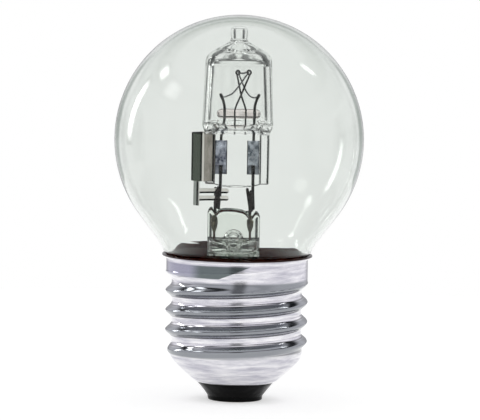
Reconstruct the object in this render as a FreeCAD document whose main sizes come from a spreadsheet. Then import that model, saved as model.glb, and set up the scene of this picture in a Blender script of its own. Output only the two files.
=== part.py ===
import FreeCAD, Part
import math
import os

import Sketcher

# Clear globe lamp with a small inner lamp capsule on a metal screw cap.
# The lamp stands upright in its own frame: its axis is Z, the underside of the centre contact is z = 0,
# -Y is the side that shows the flat of the pinch seal, and left means -X. Every length is in millimetres.

SHEET_NAME = "Sizes"

# Driving dimensions, each with the place it sets
SIZES = {
    # outer glass
    "globe_radius": "22.85",
    "globe_centre_height": "47.95",
    "globe_wall": "0.7",
    "cone_angle": "37.5",
    "collar_radius": "13.55",
    "collar_height": "27.6",
    "collar_bend": "1.5",
    "collar_turn": "70",
    "neck_radius": "11.2",
    "neck_top_height": "23.4",
    "neck_foot_height": "17.4",
    # screw cap
    "shell_wall": "0.3",
    "rim_radius": "13.8",
    "rim_height": "26.9",
    "skirt_radius": "13.0",
    "crest_radius": "13.1",
    "root_radius": "11.95",
    "thread_pitch": "3.629",
    "first_crest_height": "10.11",
    "bowl_radius": "12.26",
    "bowl_height": "8.5",
    "bowl_bend": "3.0",
    "bowl_bend_radius": "11.2",
    "bowl_bend_height": "6.9",
    "mouth_radius": "7.3",
    "mouth_height": "3.5",
    # cap glass and contact
    "lip_radius": "5.05",
    "lip_height": "0.8",
    "lip_foot_height": "0.1",
    "insulator_top_height": "7.9",
    "insulator_cup_radius": "2.0",
    "insulator_cup_height": "5.2",
    "contact_radius": "4.55",
    "contact_thickness": "0.5",
    "contact_edge": "0.15",
    "dimple_radius": "1.5",
    "dimple_floor_radius": "0.6",
    "dimple_depth": "0.25",
    "solder_hollow": "0.08",
    # cement
    "cement_foot_height": "18.4",
    "cement_top_height": "27.25",
    "cement_tilt": "2.4",
    "cement_tilt_turn": "-28",
    # stem
    "stem_offset": "0.75",
    "stem_radius": "4.82",
    "stem_wall": "0.8",
    "flare_height": "3.2",
    "flare_wall": "0.7",
    "stem_bore_height": "28.2",
    "press_foot_height": "28.6",
    "press_face_height": "30.6",
    "press_shoulder_height": "33.9",
    "press_top_height": "34.9",
    "press_thickness": "3.4",
    "press_edge": "1.2",
    "exhaust_hole_radius": "1.35",
    "exhaust_hole_height": "29.8",
    "exhaust_radius": "1.7",
    "exhaust_bore_radius": "1.0",
    "exhaust_tip_height": "13.2",
    "exhaust_tip_length": "2.4",
    # leads through the stem
    "lead_radius": "0.28",
    "lead_left": "-4.2",
    "lead_right": "2.2",
    "lead_left_top_height": "38.9",
    "lead_right_top_height": "38.8",
    "lead_right_lean": "0.55",
    "seal_radius": "0.3",
    "seal_foot_height": "31.1",
    "seal_top_height": "34.2",
    "tail_radius": "0.2",
    # inner capsule
    "capsule_centre": "-0.3",
    "capsule_foot_radius": "6.5",
    "capsule_top_radius": "6.1",
    "capsule_foot_height": "51.2",
    "capsule_top_height": "62.5",
    "capsule_wall": "0.95",
    "capsule_foot_bend": "1.9",
    "capsule_top_bend": "2.5",
    "shoulder_turn": "65",
    "dome_radius": "1.95",
    "dome_height": "65.9",
    "nipple_radius": "1.55",
    "nipple_top_height": "68.7",
    "cavity_foot_height": "50.4",
    "cavity_top_height": "64.3",
    "pinch_width": "11.85",
    "pinch_thickness": "3.6",
    "pinch_web": "1.9",
    "rib_width": "1.65",
    "pinch_foot_height": "39.7",
    "pinch_belly": "0.6",
    "pinch_top_height": "50.1",
    # parts held in the pinch
    "foil_width": "2.3",
    "foil_thickness": "0.1",
    "foil_gap": "0.02",
    "foil_foot_height": "41.6",
    "foil_top_height": "47.8",
    "foil_left": "-3.3",
    "foil_right": "2.65",
    "pin_radius": "0.28",
    "pin_overlap": "1.7",
    "pin_left_foot": "-3.6",
    "pin_right_foot": "2.8",
    "pin_foot_height": "34.9",
    # filament and what carries it
    "post_radius": "0.25",
    "post_overlap": "1.5",
    "post_spread": "2.68",
    "post_tip_spread": "3.58",
    "post_tip_height": "56.2",
    "support_radius": "0.15",
    "support_foot_height": "49.3",
    "support_left": "-0.86",
    "support_right": "1.12",
    "support_cross": "0.23",
    "support_cross_height": "56.2",
    "support_gap": "0.1",
    "hook_left": "-0.61",
    "hook_right": "1.82",
    "hook_height": "60.4",
    "bead_radius": "0.93",
    "bead_length": "8.15",
    "bead_centre": "-0.15",
    "bead_height": "52.65",
    "coil_radius": "0.25",
    "coil_clearance": "0.02",
    "coil_top_height": "59.9",
    "coil_sag": "0.3",
    # sheet clip on the left rib
    "clip_thickness": "0.25",
    "clip_foot_height": "40.3",
    "clip_top_height": "49.2",
    "clip_reach": "8.75",
    "clip_lip_end": "4.6",
    "tongue_outer": "8.15",
    "tongue_inner": "7.23",
    "tongue_foot_height": "35.8",
    "finger_end": "-1.75",
    "finger_bend": "-5.2",
    "finger_top_height": "38.95",
    "finger_width": "0.9",
    "finger_pitch": "1.35",
}


# Named sizes as numbers that keep their sheet formula

class Size:
    """A length with the sheet formula that it comes from."""

    def __init__(self, value, text=None):
        self.value = float(value)
        self.text = text if text is not None else repr(float(value))

    @staticmethod
    def of(other):
        return other if isinstance(other, Size) else Size(other)

    def joined(self, other, sign, value):
        return Size(value, f"({self.text} {sign} {Size.of(other).text})")

    def __add__(self, other):
        return self.joined(other, "+", self.value + Size.of(other).value)

    def __sub__(self, other):
        return self.joined(other, "-", self.value - Size.of(other).value)

    def __mul__(self, other):
        return self.joined(other, "*", self.value * Size.of(other).value)

    def __truediv__(self, other):
        return self.joined(other, "/", self.value / Size.of(other).value)

    def __neg__(self):
        return Size(0) - self

    def __radd__(self, other):
        return Size.of(other) + self

    def __rsub__(self, other):
        return Size.of(other) - self

    def __rmul__(self, other):
        return Size.of(other) * self

    def __rtruediv__(self, other):
        return Size.of(other) / self


def sine(angle):
    return Size(math.sin(math.radians(angle.value)), f"sin({angle.text})")


def cosine(angle):
    return Size(math.cos(math.radians(angle.value)), f"cos({angle.text})")


def tangent(angle):
    return Size(math.tan(math.radians(angle.value)), f"tan({angle.text})")


doc = FreeCAD.newDocument("globe_lamp")
sheet = doc.addObject("Spreadsheet::Sheet", SHEET_NAME)
for row, (word, number) in enumerate(SIZES.items(), start=1):
    sheet.set(f"A{row}", number)
    sheet.setAlias(f"A{row}", word)
doc.recompute()


def size(word):
    """The named cell of the sheet, as a number that keeps its formula."""
    return Size(sheet.get(word), f"{SHEET_NAME}.{word}")


def height_on_ball(top, ball, radius):
    """The height at a radius on a ball whose top is at the given height."""
    drop = math.sqrt(ball.value ** 2 - radius.value ** 2)
    return top - ball + Size(drop, f"sqrt({ball.text} ^ 2 - {radius.text} ^ 2)")


def vector(x, y, z):
    return FreeCAD.Vector(Size.of(x).value, Size.of(y).value, Size.of(z).value)


# Drawing helpers

def origin_plane(body, role):
    return next(item for item in body.Origin.OriginFeatures if item.Role == role)


def new_sketch(body, name, role="XZ_Plane", lift=None):
    """An empty sketch on one of the body's own planes, lifted along the plane's normal."""
    sketch = body.newObject("Sketcher::SketchObject", name)
    sketch.AttachmentSupport = (origin_plane(body, role), [""])
    sketch.MapMode = "FlatFace"
    if lift is not None:
        sketch.setExpression("AttachmentOffset.Base.z", lift.text)
    return sketch


def pin_point(sketch, edge, end, x, y):
    """Ties an edge's end to the origin by two dimensions that follow the sheet."""
    for kind, length, axis in (("DistanceX", Size.of(x), -2), ("DistanceY", Size.of(y), -1)):
        if abs(length.value) < 1e-9:
            sketch.addConstraint(Sketcher.Constraint("PointOnObject", edge, end, axis))
            continue
        number = sketch.addConstraint(Sketcher.Constraint(kind, -1, 1, edge, end, length.value))
        sketch.setExpression(f"Constraints[{number}]", length.text)


def draw_outline(sketch, corners):
    """A closed outline through corners (x, y) or (x, y, bend).

    A bend is the radius of the arc that leaves that corner; it bulges to the right of the way
    to the next corner when positive, and to the left when negative.
    """
    count = len(corners)
    for index, corner in enumerate(corners):
        following = corners[(index + 1) % count]
        start = vector(corner[0], corner[1], 0)
        end = vector(following[0], following[1], 0)
        if len(corner) == 2:
            sketch.addGeometry(Part.LineSegment(start, end), False)
            continue
        radius = Size.of(corner[2]).value
        chord = end - start
        sagitta = abs(radius) - math.sqrt(radius * radius - chord.Length ** 2 / 4)
        right = FreeCAD.Vector(chord.y, -chord.x, 0).normalize()
        middle = (start + end) / 2 + right * math.copysign(sagitta, radius)
        sketch.addGeometry(Part.Arc(start, middle, end), False)
    for index, corner in enumerate(corners):
        before = (index - 1) % count
        start_end = arc_ends(sketch, index, corner)[0]
        before_end = arc_ends(sketch, before, corners[before])[1]
        sketch.addConstraint(Sketcher.Constraint("Coincident", before, before_end, index, start_end))
        pin_point(sketch, index, start_end, corner[0], corner[1])
    for index, corner in enumerate(corners):
        if len(corner) == 3:
            bend = Size.of(corner[2])
            bend = bend if bend.value > 0 else -bend
            number = sketch.addConstraint(Sketcher.Constraint("Radius", index, bend.value))
            sketch.setExpression(f"Constraints[{number}]", bend.text)


def arc_ends(sketch, index, corner):
    """The sketch's numbers for the ends of an edge, in drawing order: an arc may be stored turned round."""
    start = vector(corner[0], corner[1], 0)
    first = sketch.getPoint(index, 1)
    return (1, 2) if first.distanceToPoint(start) < 1e-6 else (2, 1)


def draw_circle(sketch, x, y, radius):
    edge = sketch.addGeometry(Part.Circle(vector(x, y, 0), FreeCAD.Vector(0, 0, 1), radius.value), False)
    pin_point(sketch, edge, 3, x, y)
    number = sketch.addConstraint(Sketcher.Constraint("Radius", edge, radius.value))
    sketch.setExpression(f"Constraints[{number}]", radius.text)


def new_body(name):
    body = doc.addObject("PartDesign::Body", name)
    body.Label = name
    return body


def turned(body, name, kind, corners):
    """A Revolution or Groove of an outline (radius, height) about the body's Z axis."""
    sketch = new_sketch(body, f"{name}_profile")
    draw_outline(sketch, corners)
    feature = body.newObject(f"PartDesign::{kind}", name)
    feature.Profile = sketch
    feature.ReferenceAxis = (sketch, ["V_Axis"])
    feature.Angle = 360
    return feature


def padded(body, name, kind, sketch, length, both_ways=False):
    feature = body.newObject(f"PartDesign::{kind}", name)
    feature.Profile = sketch
    feature.setExpression("Length", length.text)
    if both_ways:
        feature.SideType = "Symmetric"
    return feature


def lofted(body, name, kind, sections):
    feature = body.newObject(f"PartDesign::{kind}", name)
    feature.Profile = sections[0]
    feature.Sections = sections[1:]
    feature.Ruled = True
    return feature


def level_circle(body, name, height, radius, x=0.0):
    sketch = new_sketch(body, name, "XY_Plane", height)
    draw_circle(sketch, x, 0, radius)
    return sketch


def straight_wire(name, x, foot, top, radius):
    """An upright round wire, as a cylinder bound to the sheet."""
    wire = doc.addObject("Part::Cylinder", name)
    wire.Label = name
    wire.setExpression("Radius", radius.text)
    wire.setExpression("Height", (top - foot).text)
    wire.setExpression("Placement.Base.x", Size.of(x).text)
    wire.setExpression("Placement.Base.z", foot.text)
    return wire


def rounded_path(points, bend):
    """A wire of straight runs with an arc at each inner point."""
    edges = []
    start = points[0]
    for before, corner, after in zip(points, points[1:], points[2:]):
        back = (before - corner).normalize()
        ahead = (after - corner).normalize()
        half_turn = back.getAngle(ahead) / 2
        reach = bend / math.tan(half_turn)
        inward = (back + ahead).normalize()
        arc_start = corner + back * reach
        arc_end = corner + ahead * reach
        arc_middle = corner + inward * (bend / math.sin(half_turn) - bend)
        edges.append(Part.LineSegment(start, arc_start).toShape())
        edges.append(Part.Arc(arc_start, arc_middle, arc_end).toShape())
        start = arc_end
    edges.append(Part.LineSegment(start, points[-1]).toShape())
    return Part.Wire(edges)


def bent_wire(name, points, radius, bend):
    """A round wire swept along a bent path."""
    path = rounded_path(points, bend.value)
    heading = (points[1] - points[0]).normalize()
    ring = Part.Wire(Part.Circle(points[0], heading, radius.value).toShape())
    wire = doc.addObject("Part::Feature", name)
    wire.Label = name
    wire.Shape = path.makePipeShell([ring], True, True)
    wire.Placement = FreeCAD.Placement()
    return wire


def cut_from(name, body, tools):
    """The body without the space that the tools fill, so that they lie in it face to face."""
    body.Label = f"{name}_blank"
    joined = doc.addObject("Part::MultiFuse", f"{name}_space")
    joined.Shapes = tools
    piece = doc.addObject("Part::Cut", name)
    piece.Base = body
    piece.Tool = joined
    piece.Label = name
    return piece


# Shared places that more than one piece follows

WIRE_BEND = 3.0  # bends in the fine wires, in wire radii
CREST_COUNT = 4  # crests of the cap's thread, and a groove over each
SHELL_WELD_ROOT = 2  # the groove below this crest takes the shell's tail

globe_tangent_radius = size("globe_radius") * cosine(size("cone_angle"))
globe_tangent_height = size("globe_centre_height") - size("globe_radius") * sine(size("cone_angle"))
collar_centre_radius = size("collar_radius") - size("collar_bend")


def globe_corners(inset):
    """Half outline of the blown glass from its top down to the neck's foot, inset by part of the wall."""
    angle = size("cone_angle")
    radius = size("globe_radius") - inset
    slant_radius = globe_tangent_radius - inset * cosine(angle)
    slant_height = globe_tangent_height + inset * sine(angle)
    collar = size("collar_radius") - inset
    height = size("collar_height")
    slant_at_collar = slant_height - (slant_radius - collar) / tangent(angle)
    swing = (slant_at_collar - height) / (1 / tangent(angle / 2) - 1 / tangent(angle))
    swing_height = height + swing / tangent(angle / 2)
    swing_bend = swing / tangent(angle / 2) / sine(angle)
    bend = size("collar_bend") - inset
    turn = size("collar_turn")
    return [
        (0, size("globe_centre_height") + radius, -radius),
        (slant_radius, slant_height),
        (collar + swing, swing_height, swing_bend),
        (collar, height, -bend),
        (collar_centre_radius + bend * cosine(turn), height - bend * sine(turn)),
        (size("neck_radius") - inset, size("neck_top_height")),
        (size("neck_radius") - inset, size("neck_foot_height")),
    ]


def bowl_inner_corners():
    """Half outline of the bowl's inside from its brim down to the mouth."""
    wall = size("shell_wall")
    slant = wall * math.sqrt(0.5)
    return [
        (size("bowl_radius") - wall, size("bowl_height") + wall / 2),
        (size("bowl_bend_radius") - slant, size("bowl_bend_height") + slant),
        (size("mouth_radius") - slant, size("mouth_height") + slant),
    ]


def thread_bend():
    """Radius of the equal arcs that make crests and roots: they meet halfway up the thread's depth."""
    depth = size("crest_radius") - size("root_radius")
    half_pitch = size("thread_pitch") / 2
    return (depth * depth + half_pitch * half_pitch) / depth / 4


def crest_height(number):
    return size("first_crest_height") + size("thread_pitch") * number


def thread_corners(inset):
    """Outline of the crests and of the groove over each, from the lowest upwards, inset by part of the sheet."""
    bend = thread_bend()
    depth = size("crest_radius") - size("root_radius")
    quarter = size("thread_pitch") / 4
    middle = size("crest_radius") - depth / 2 - inset * (bend - depth / 2) / bend
    rise = quarter - inset * quarter / bend
    corners = []
    for number in range(CREST_COUNT):
        corners.append((middle, crest_height(number) - rise, bend - inset))
        corners.append((middle, crest_height(number) + rise, -(bend + inset)))
    return corners + [(middle, crest_height(CREST_COUNT) - rise)]


def skirt_foot(inset):
    """Height where the cylindrical skirt starts, over the last groove."""
    middle, foot = thread_corners(inset)[-1][:2]
    return foot + size("skirt_radius") - inset - middle


def shell_inner_corners():
    """Half outline of the cap's inside from its rim down to the skirt's foot."""
    wall = size("shell_wall")
    skirt = size("skirt_radius") - wall
    return [
        (size("rim_radius") - wall, size("rim_height")),
        (skirt, size("rim_height") - size("rim_radius") + size("skirt_radius")),
        (skirt, skirt_foot(wall)),
    ]


# Outer glass: one blown piece, globe and neck

def build_outer_bulb():
    body = new_body("outer_bulb")
    outside = globe_corners(Size(0))
    inside = globe_corners(size("globe_wall"))
    turned(body, "blown_glass", "Revolution", outside + mirror_order(inside))
    return body


def mirror_order(corners):
    """The same outline run the other way, with each bend kept on its own edge."""
    turned_round = []
    for index in range(len(corners) - 1, -1, -1):
        corner = corners[index]
        before = corners[index - 1] if index > 0 else corner
        bend = (-before[2],) if index > 0 and len(before) == 3 else ()
        turned_round.append((corner[0], corner[1]) + bend)
    return turned_round


# Cap shell: rolled sheet with the thread's full envelope

def build_cap_shell():
    body = new_body("cap_shell")
    wall = size("shell_wall")
    outside = [
        (size("mouth_radius"), size("mouth_height")),
        (size("bowl_bend_radius"), size("bowl_bend_height"), size("bowl_bend")),
        (size("bowl_radius"), size("bowl_height")),
        *thread_corners(Size(0)),
        (size("skirt_radius"), skirt_foot(Size(0))),
        (size("skirt_radius"), size("rim_height") - size("rim_radius") + size("skirt_radius") - wall),
        (size("rim_radius"), size("rim_height") - wall),
        (size("rim_radius"), size("rim_height")),
    ]
    inside = shell_inner_corners() + mirror_order(thread_corners(wall)) + bowl_inner_corners()
    turned(body, "rolled_sheet", "Revolution", outside + inside)
    return body


# Cap glass: black insulator that fills the bowl and carries the contact

def build_cap_insulator():
    body = new_body("cap_insulator")
    seat, mouth = bowl_inner_corners()[1:]
    outside = [
        (size("contact_radius"), size("lip_foot_height")),
        (size("lip_radius"), size("lip_foot_height")),
        (size("lip_radius"), size("lip_height")),
        (size("mouth_radius"), size("mouth_height")),
        mouth,
        seat,
        (seat[0], size("insulator_top_height")),
        (size("insulator_cup_radius") * 4, size("insulator_top_height")),
        (size("insulator_cup_radius"), size("insulator_cup_height")),
        (size("tail_radius"), size("insulator_cup_height")),
        (size("tail_radius"), size("contact_thickness")),
        (size("contact_radius"), size("contact_thickness")),
    ]
    turned(body, "cap_glass", "Revolution", outside)
    return body


def build_centre_contact():
    body = new_body("centre_contact")
    turned(body, "contact_disc", "Revolution", [
        (size("tail_radius"), size("contact_thickness")),
        (size("tail_radius"), size("dimple_depth")),
        (size("dimple_floor_radius"), size("dimple_depth")),
        (size("dimple_radius"), 0),
        (size("contact_radius") - size("contact_edge"), 0),
        (size("contact_radius"), size("contact_edge")),
        (size("contact_radius"), size("contact_thickness")),
    ])
    return body


def build_contact_solder():
    body = new_body("contact_solder")
    rise = size("solder_hollow")
    slope = (size("dimple_radius") - size("dimple_floor_radius")) / size("dimple_depth")
    turned(body, "solder_spot", "Revolution", [
        (0, rise),
        (size("dimple_radius") - slope * rise, rise),
        (size("dimple_floor_radius"), size("dimple_depth")),
        (0, size("dimple_depth")),
    ])
    return body


# Cement: ring between neck and cap, squeezed up above the rim on one side

def build_cap_cement():
    body = new_body("cement_ring")
    glass = globe_corners(Size(0))
    inner = shell_inner_corners()
    wall = size("shell_wall")
    bore = size("root_radius") - wall
    foot = size("cement_foot_height")
    swing = glass[2]
    turned(body, "cement_fill", "Revolution", [
        (size("neck_radius"), foot),
        (bore, foot),
        (bore, crest_height(CREST_COUNT) - size("thread_pitch") / 2, -(thread_bend() + wall)),
        thread_corners(wall)[-1],
        inner[2],
        inner[1],
        inner[0],
        (inner[0][0] + size("shell_wall") / 2, size("rim_height")),
        (size("collar_radius") + size("shell_wall"), size("collar_height")),
        (swing[0] + size("shell_wall") / 2, swing[1]),
        (swing[0], swing[1], swing[2]),
        (glass[3][0], glass[3][1], glass[3][2]),
        (glass[4][0], glass[4][1]),
        (glass[5][0], glass[5][1]),
    ])
    half = size("rim_radius") * 2
    knife = doc.addObject("Part::Box", "cement_trim")
    for side in ("Length", "Width"):
        knife.setExpression(side, (half * 2).text)
    knife.setExpression("Height", half.text)
    tilt = FreeCAD.Rotation(FreeCAD.Vector(0, 0, 1), -size("cement_tilt_turn").value)
    tilt = tilt.multiply(FreeCAD.Rotation(FreeCAD.Vector(1, 0, 0), size("cement_tilt").value))
    corner = tilt.multVec(vector(-half, -half, 0)) + vector(0, 0, size("cement_top_height"))
    knife.Placement = FreeCAD.Placement(corner, tilt)
    piece = doc.addObject("Part::Cut", "cap_cement")
    piece.Base = body
    piece.Tool = knife
    piece.Label = "cap_cement"
    return piece


# Stem: flare, tube and press of one glass, with its own exhaust tube

def build_stem(wires):
    body = new_body("stem_glass")
    offset = size("stem_offset")
    radius = size("stem_radius")
    bore = radius - size("stem_wall")
    rim_top = size("neck_foot_height")
    rim_foot = rim_top - size("flare_wall")
    flare_top = rim_top + size("flare_height")
    rim = level_circle(body, "rim_circle", rim_foot, size("neck_radius"), offset)
    padded(body, "flare_rim", "Pad", rim, size("flare_wall"))
    lofted(body, "flare_cone", "AdditiveLoft", [
        level_circle(body, "flare_foot_circle", rim_top, size("neck_radius") - size("globe_wall"), offset),
        level_circle(body, "flare_top_circle", flare_top, radius),
    ])
    tube = level_circle(body, "tube_circle", flare_top, radius)
    padded(body, "tube_wall", "Pad", tube, size("press_foot_height") - flare_top)
    oval = new_sketch(body, "press_oval", "XY_Plane", size("press_face_height"))
    draw_oval(oval, radius, size("press_thickness") / 2)
    lofted(body, "press_roof", "AdditiveLoft", [
        level_circle(body, "press_foot_circle", size("press_foot_height"), radius),
        oval,
    ])
    face = new_sketch(body, "press_face")
    shoulder = size("press_shoulder_height")
    crown = size("press_top_height") - shoulder
    draw_outline(face, [
        (-radius + size("press_edge") / 4, size("press_foot_height")),
        (radius - size("press_edge") / 4, size("press_foot_height")),
        (radius - size("press_edge") / 4, shoulder, (radius * radius + crown * crown) / crown / 2),
        (-radius + size("press_edge") / 4, shoulder),
    ])
    padded(body, "press_block", "Pad", face, size("press_thickness") * 0.8, True)
    lofted(body, "flare_hollow", "SubtractiveLoft", [
        level_circle(body, "hollow_foot_circle", rim_foot, size("neck_radius") - size("globe_wall") * 2, offset),
        level_circle(body, "hollow_top_circle", flare_top - size("flare_wall") / 2, bore),
    ])
    turned(body, "tube_bore", "Groove", [
        (0, flare_top - size("flare_wall")),
        (bore, flare_top - size("flare_wall")),
        (bore, size("stem_bore_height") - bore, bore),
        (0, size("stem_bore_height")),
    ])
    hole = new_sketch(body, "exhaust_hole_circle")
    draw_circle(hole, 0, size("exhaust_hole_height"), size("exhaust_hole_radius"))
    padded(body, "exhaust_hole", "Pocket", hole, radius * 2, True)
    body.setExpression("Placement.Base.x", (-offset).text)
    return cut_from("stem", body, wires)


def draw_oval(sketch, half_length, half_width):
    """An oval of four arcs with the given half axes, drawn as one closed curve."""
    oval = Part.Ellipse(FreeCAD.Vector(0, 0, 0), half_length.value, half_width.value)
    edge = sketch.addGeometry(oval, False)
    sketch.exposeInternalGeometry(edge)
    pin_point(sketch, edge, 3, 0, 0)
    for line, length in ((edge + 1, half_length * 2), (edge + 2, half_width * 2)):
        number = sketch.addConstraint(Sketcher.Constraint("Distance", line, length.value))
        sketch.setExpression(f"Constraints[{number}]", length.text)
    sketch.addConstraint(Sketcher.Constraint("Horizontal", edge + 1))


def build_exhaust_tube():
    body = new_body("exhaust_tube")
    radius = size("exhaust_radius")
    bore = size("exhaust_bore_radius")
    tip = size("exhaust_tip_height")
    shoulder = tip + size("exhaust_tip_length")
    roof = size("stem_bore_height")
    dome = size("stem_radius") - size("stem_wall")
    turned(body, "drawn_tube", "Revolution", [
        (0, tip),
        (radius / 4, tip),
        (radius, shoulder),
        (radius, height_on_ball(roof, dome, radius), dome),
        (bore, height_on_ball(roof, dome, bore)),
        (bore, shoulder + radius / 4),
        (0, tip + size("exhaust_tip_length") / 2),
    ])
    body.setExpression("Placement.Base.x", (-size("stem_offset")).text)
    return body


# Leads: two tails, two seal wires in the press and two stiff wires above it

def build_leads():
    seals, stiff, tails = [], [], []
    foot, top = size("seal_foot_height"), size("seal_top_height")
    for side in ("left", "right"):
        seals.append(straight_wire(f"seal_wire_{side}", size(f"lead_{side}"), foot, top, size("seal_radius")))
    left_top = size("lead_left_top_height")
    stiff.append(straight_wire("stem_lead_left", size("lead_left"), top, left_top, size("lead_radius")))
    right = size("lead_right")
    stiff.append(bent_wire("stem_lead_right", [
        vector(right, 0, top),
        vector(right, 0, top + size("lead_radius") * 4),
        vector(right - size("lead_right_lean"), 0, size("lead_right_top_height")),
    ], size("lead_radius"), size("lead_radius") * WIRE_BEND))
    tail = size("tail_radius")
    bend = tail * WIRE_BEND * 2
    rim_foot = size("neck_foot_height") - size("flare_wall")
    left = size("lead_left")
    clear = size("exhaust_radius") + size("stem_offset") + tail * 3
    tails.append(bent_wire("tail_lead_contact", [
        vector(left, 0, foot),
        vector(left, 0, rim_foot + size("flare_height")),
        vector(-clear, 0, size("exhaust_tip_height") + size("exhaust_tip_length")),
        vector(-tail * 5, 0, size("exhaust_tip_height") - tail * 8),
        vector(0, 0, size("insulator_cup_height") + tail * 8),
        vector(0, 0, size("dimple_depth")),
    ], tail, bend))
    bore = size("root_radius") - size("shell_wall")
    weld = crest_height(SHELL_WELD_ROOT) - size("thread_pitch") / 2
    tails.append(bent_wire("tail_lead_shell", [
        vector(right, 0, foot),
        vector(right, 0, rim_foot + size("flare_height")),
        vector(right + tail * 9, 0, weld),
        vector(bore, 0, weld),
    ], tail, bend))
    return seals, stiff, tails


# Capsule insides: foils, pins, posts, supports, bead and coil

def build_foils():
    foils = []
    for side in ("left", "right"):
        foil = doc.addObject("Part::Box", f"foil_{side}")
        foil.Label = f"foil_{side}"
        foil.setExpression("Length", size("foil_width").text)
        foil.setExpression("Width", size("foil_thickness").text)
        foil.setExpression("Height", (size("foil_top_height") - size("foil_foot_height")).text)
        foil.setExpression("Placement.Base.x", (size(f"foil_{side}") - size("foil_width") / 2).text)
        foil.setExpression("Placement.Base.y", (-size("pin_radius") - size("foil_gap") - size("foil_thickness")).text)
        foil.setExpression("Placement.Base.z", size("foil_foot_height").text)
        foils.append(foil)
    return foils


def build_pins():
    pins = []
    radius = size("pin_radius")
    for side in ("left", "right"):
        x = size(f"foil_{side}")
        pins.append(bent_wire(f"capsule_pin_{side}", [
            vector(x, 0, size("foil_foot_height") + size("pin_overlap")),
            vector(x, 0, size("pinch_foot_height") - size("pinch_belly") - radius * 2),
            vector(size(f"pin_{side}_foot"), 0, size("pin_foot_height")),
        ], radius, radius * WIRE_BEND))
    return pins


def build_posts():
    posts = []
    radius = size("post_radius")
    for side, hand in (("left", -1), ("right", 1)):
        x = size(f"foil_{side}")
        waist = size("post_spread") * hand
        posts.append(bent_wire(f"filament_post_{side}", [
            vector(x, 0, size("foil_top_height") - size("post_overlap")),
            vector(x, 0, size("foil_top_height")),
            vector(waist, 0, size("bead_height") - size("bead_radius") * 1.5),
            vector(waist, 0, size("bead_height") + size("bead_radius")),
            vector(size("post_tip_spread") * hand, 0, size("post_tip_height")),
        ], radius, radius * WIRE_BEND))
    return posts


def build_supports():
    """Two thin wires that cross above the bead, one before the other, and end beside the coil's bends."""
    supports = []
    radius = size("support_radius")
    depth = radius + size("support_gap") / 2
    for side, hook, toward in (("left", "right", -1), ("right", "left", 1)):
        x = size(f"support_{side}")
        tip = size(f"hook_{hook}")
        supports.append(bent_wire(f"filament_support_{side}", [
            vector(x, 0, size("support_foot_height")),
            vector(x, 0, size("bead_height") + size("bead_radius")),
            vector(size("support_cross"), depth * toward, size("support_cross_height")),
            vector(tip, depth * toward, size("hook_height")),
        ], radius, radius * WIRE_BEND))
    return supports


def build_bead(wires):
    """A glass rod across the posts and supports."""
    rod = doc.addObject("Part::Cylinder", "bead_rod")
    rod.setExpression("Radius", size("bead_radius").text)
    rod.setExpression("Height", size("bead_length").text)
    rod.Placement = FreeCAD.Placement(FreeCAD.Vector(0, 0, 0), FreeCAD.Rotation(FreeCAD.Vector(0, 1, 0), 90))
    rod.setExpression("Placement.Base.x", (size("bead_centre") - size("bead_length") / 2).text)
    rod.setExpression("Placement.Base.z", size("bead_height").text)
    return cut_from("filament_bead", rod, wires)


def build_filament():
    """The coil's own envelope: up, across between the hooks and down, one leg before the other."""
    radius = size("coil_radius")
    depth = size("support_radius") * 2 + size("support_gap") / 2 + radius + size("coil_clearance")
    beside = size("post_radius") + radius - size("coil_clearance")
    end = size("post_tip_spread") - beside
    end_height = size("post_tip_height") - size("coil_sag")
    top = size("coil_top_height")
    knee_height = (top + end_height) / 2 - size("coil_sag")
    left, right = size("hook_left") + radius, size("hook_right") - radius * 1.5
    return bent_wire("filament", [
        vector(-end, 0, end_height),
        vector(-end * 0.35, -depth * 0.6, end_height + size("coil_sag")),
        vector(right, -depth, top),
        vector(left, depth, top),
        vector(end * 0.42, depth * 0.6, knee_height - size("coil_sag") * 3),
        vector(end, 0, end_height),
    ], radius, radius * 1.4)


# Capsule: drawn quartz tube with a tip on top and a flat pinch seal below

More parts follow.
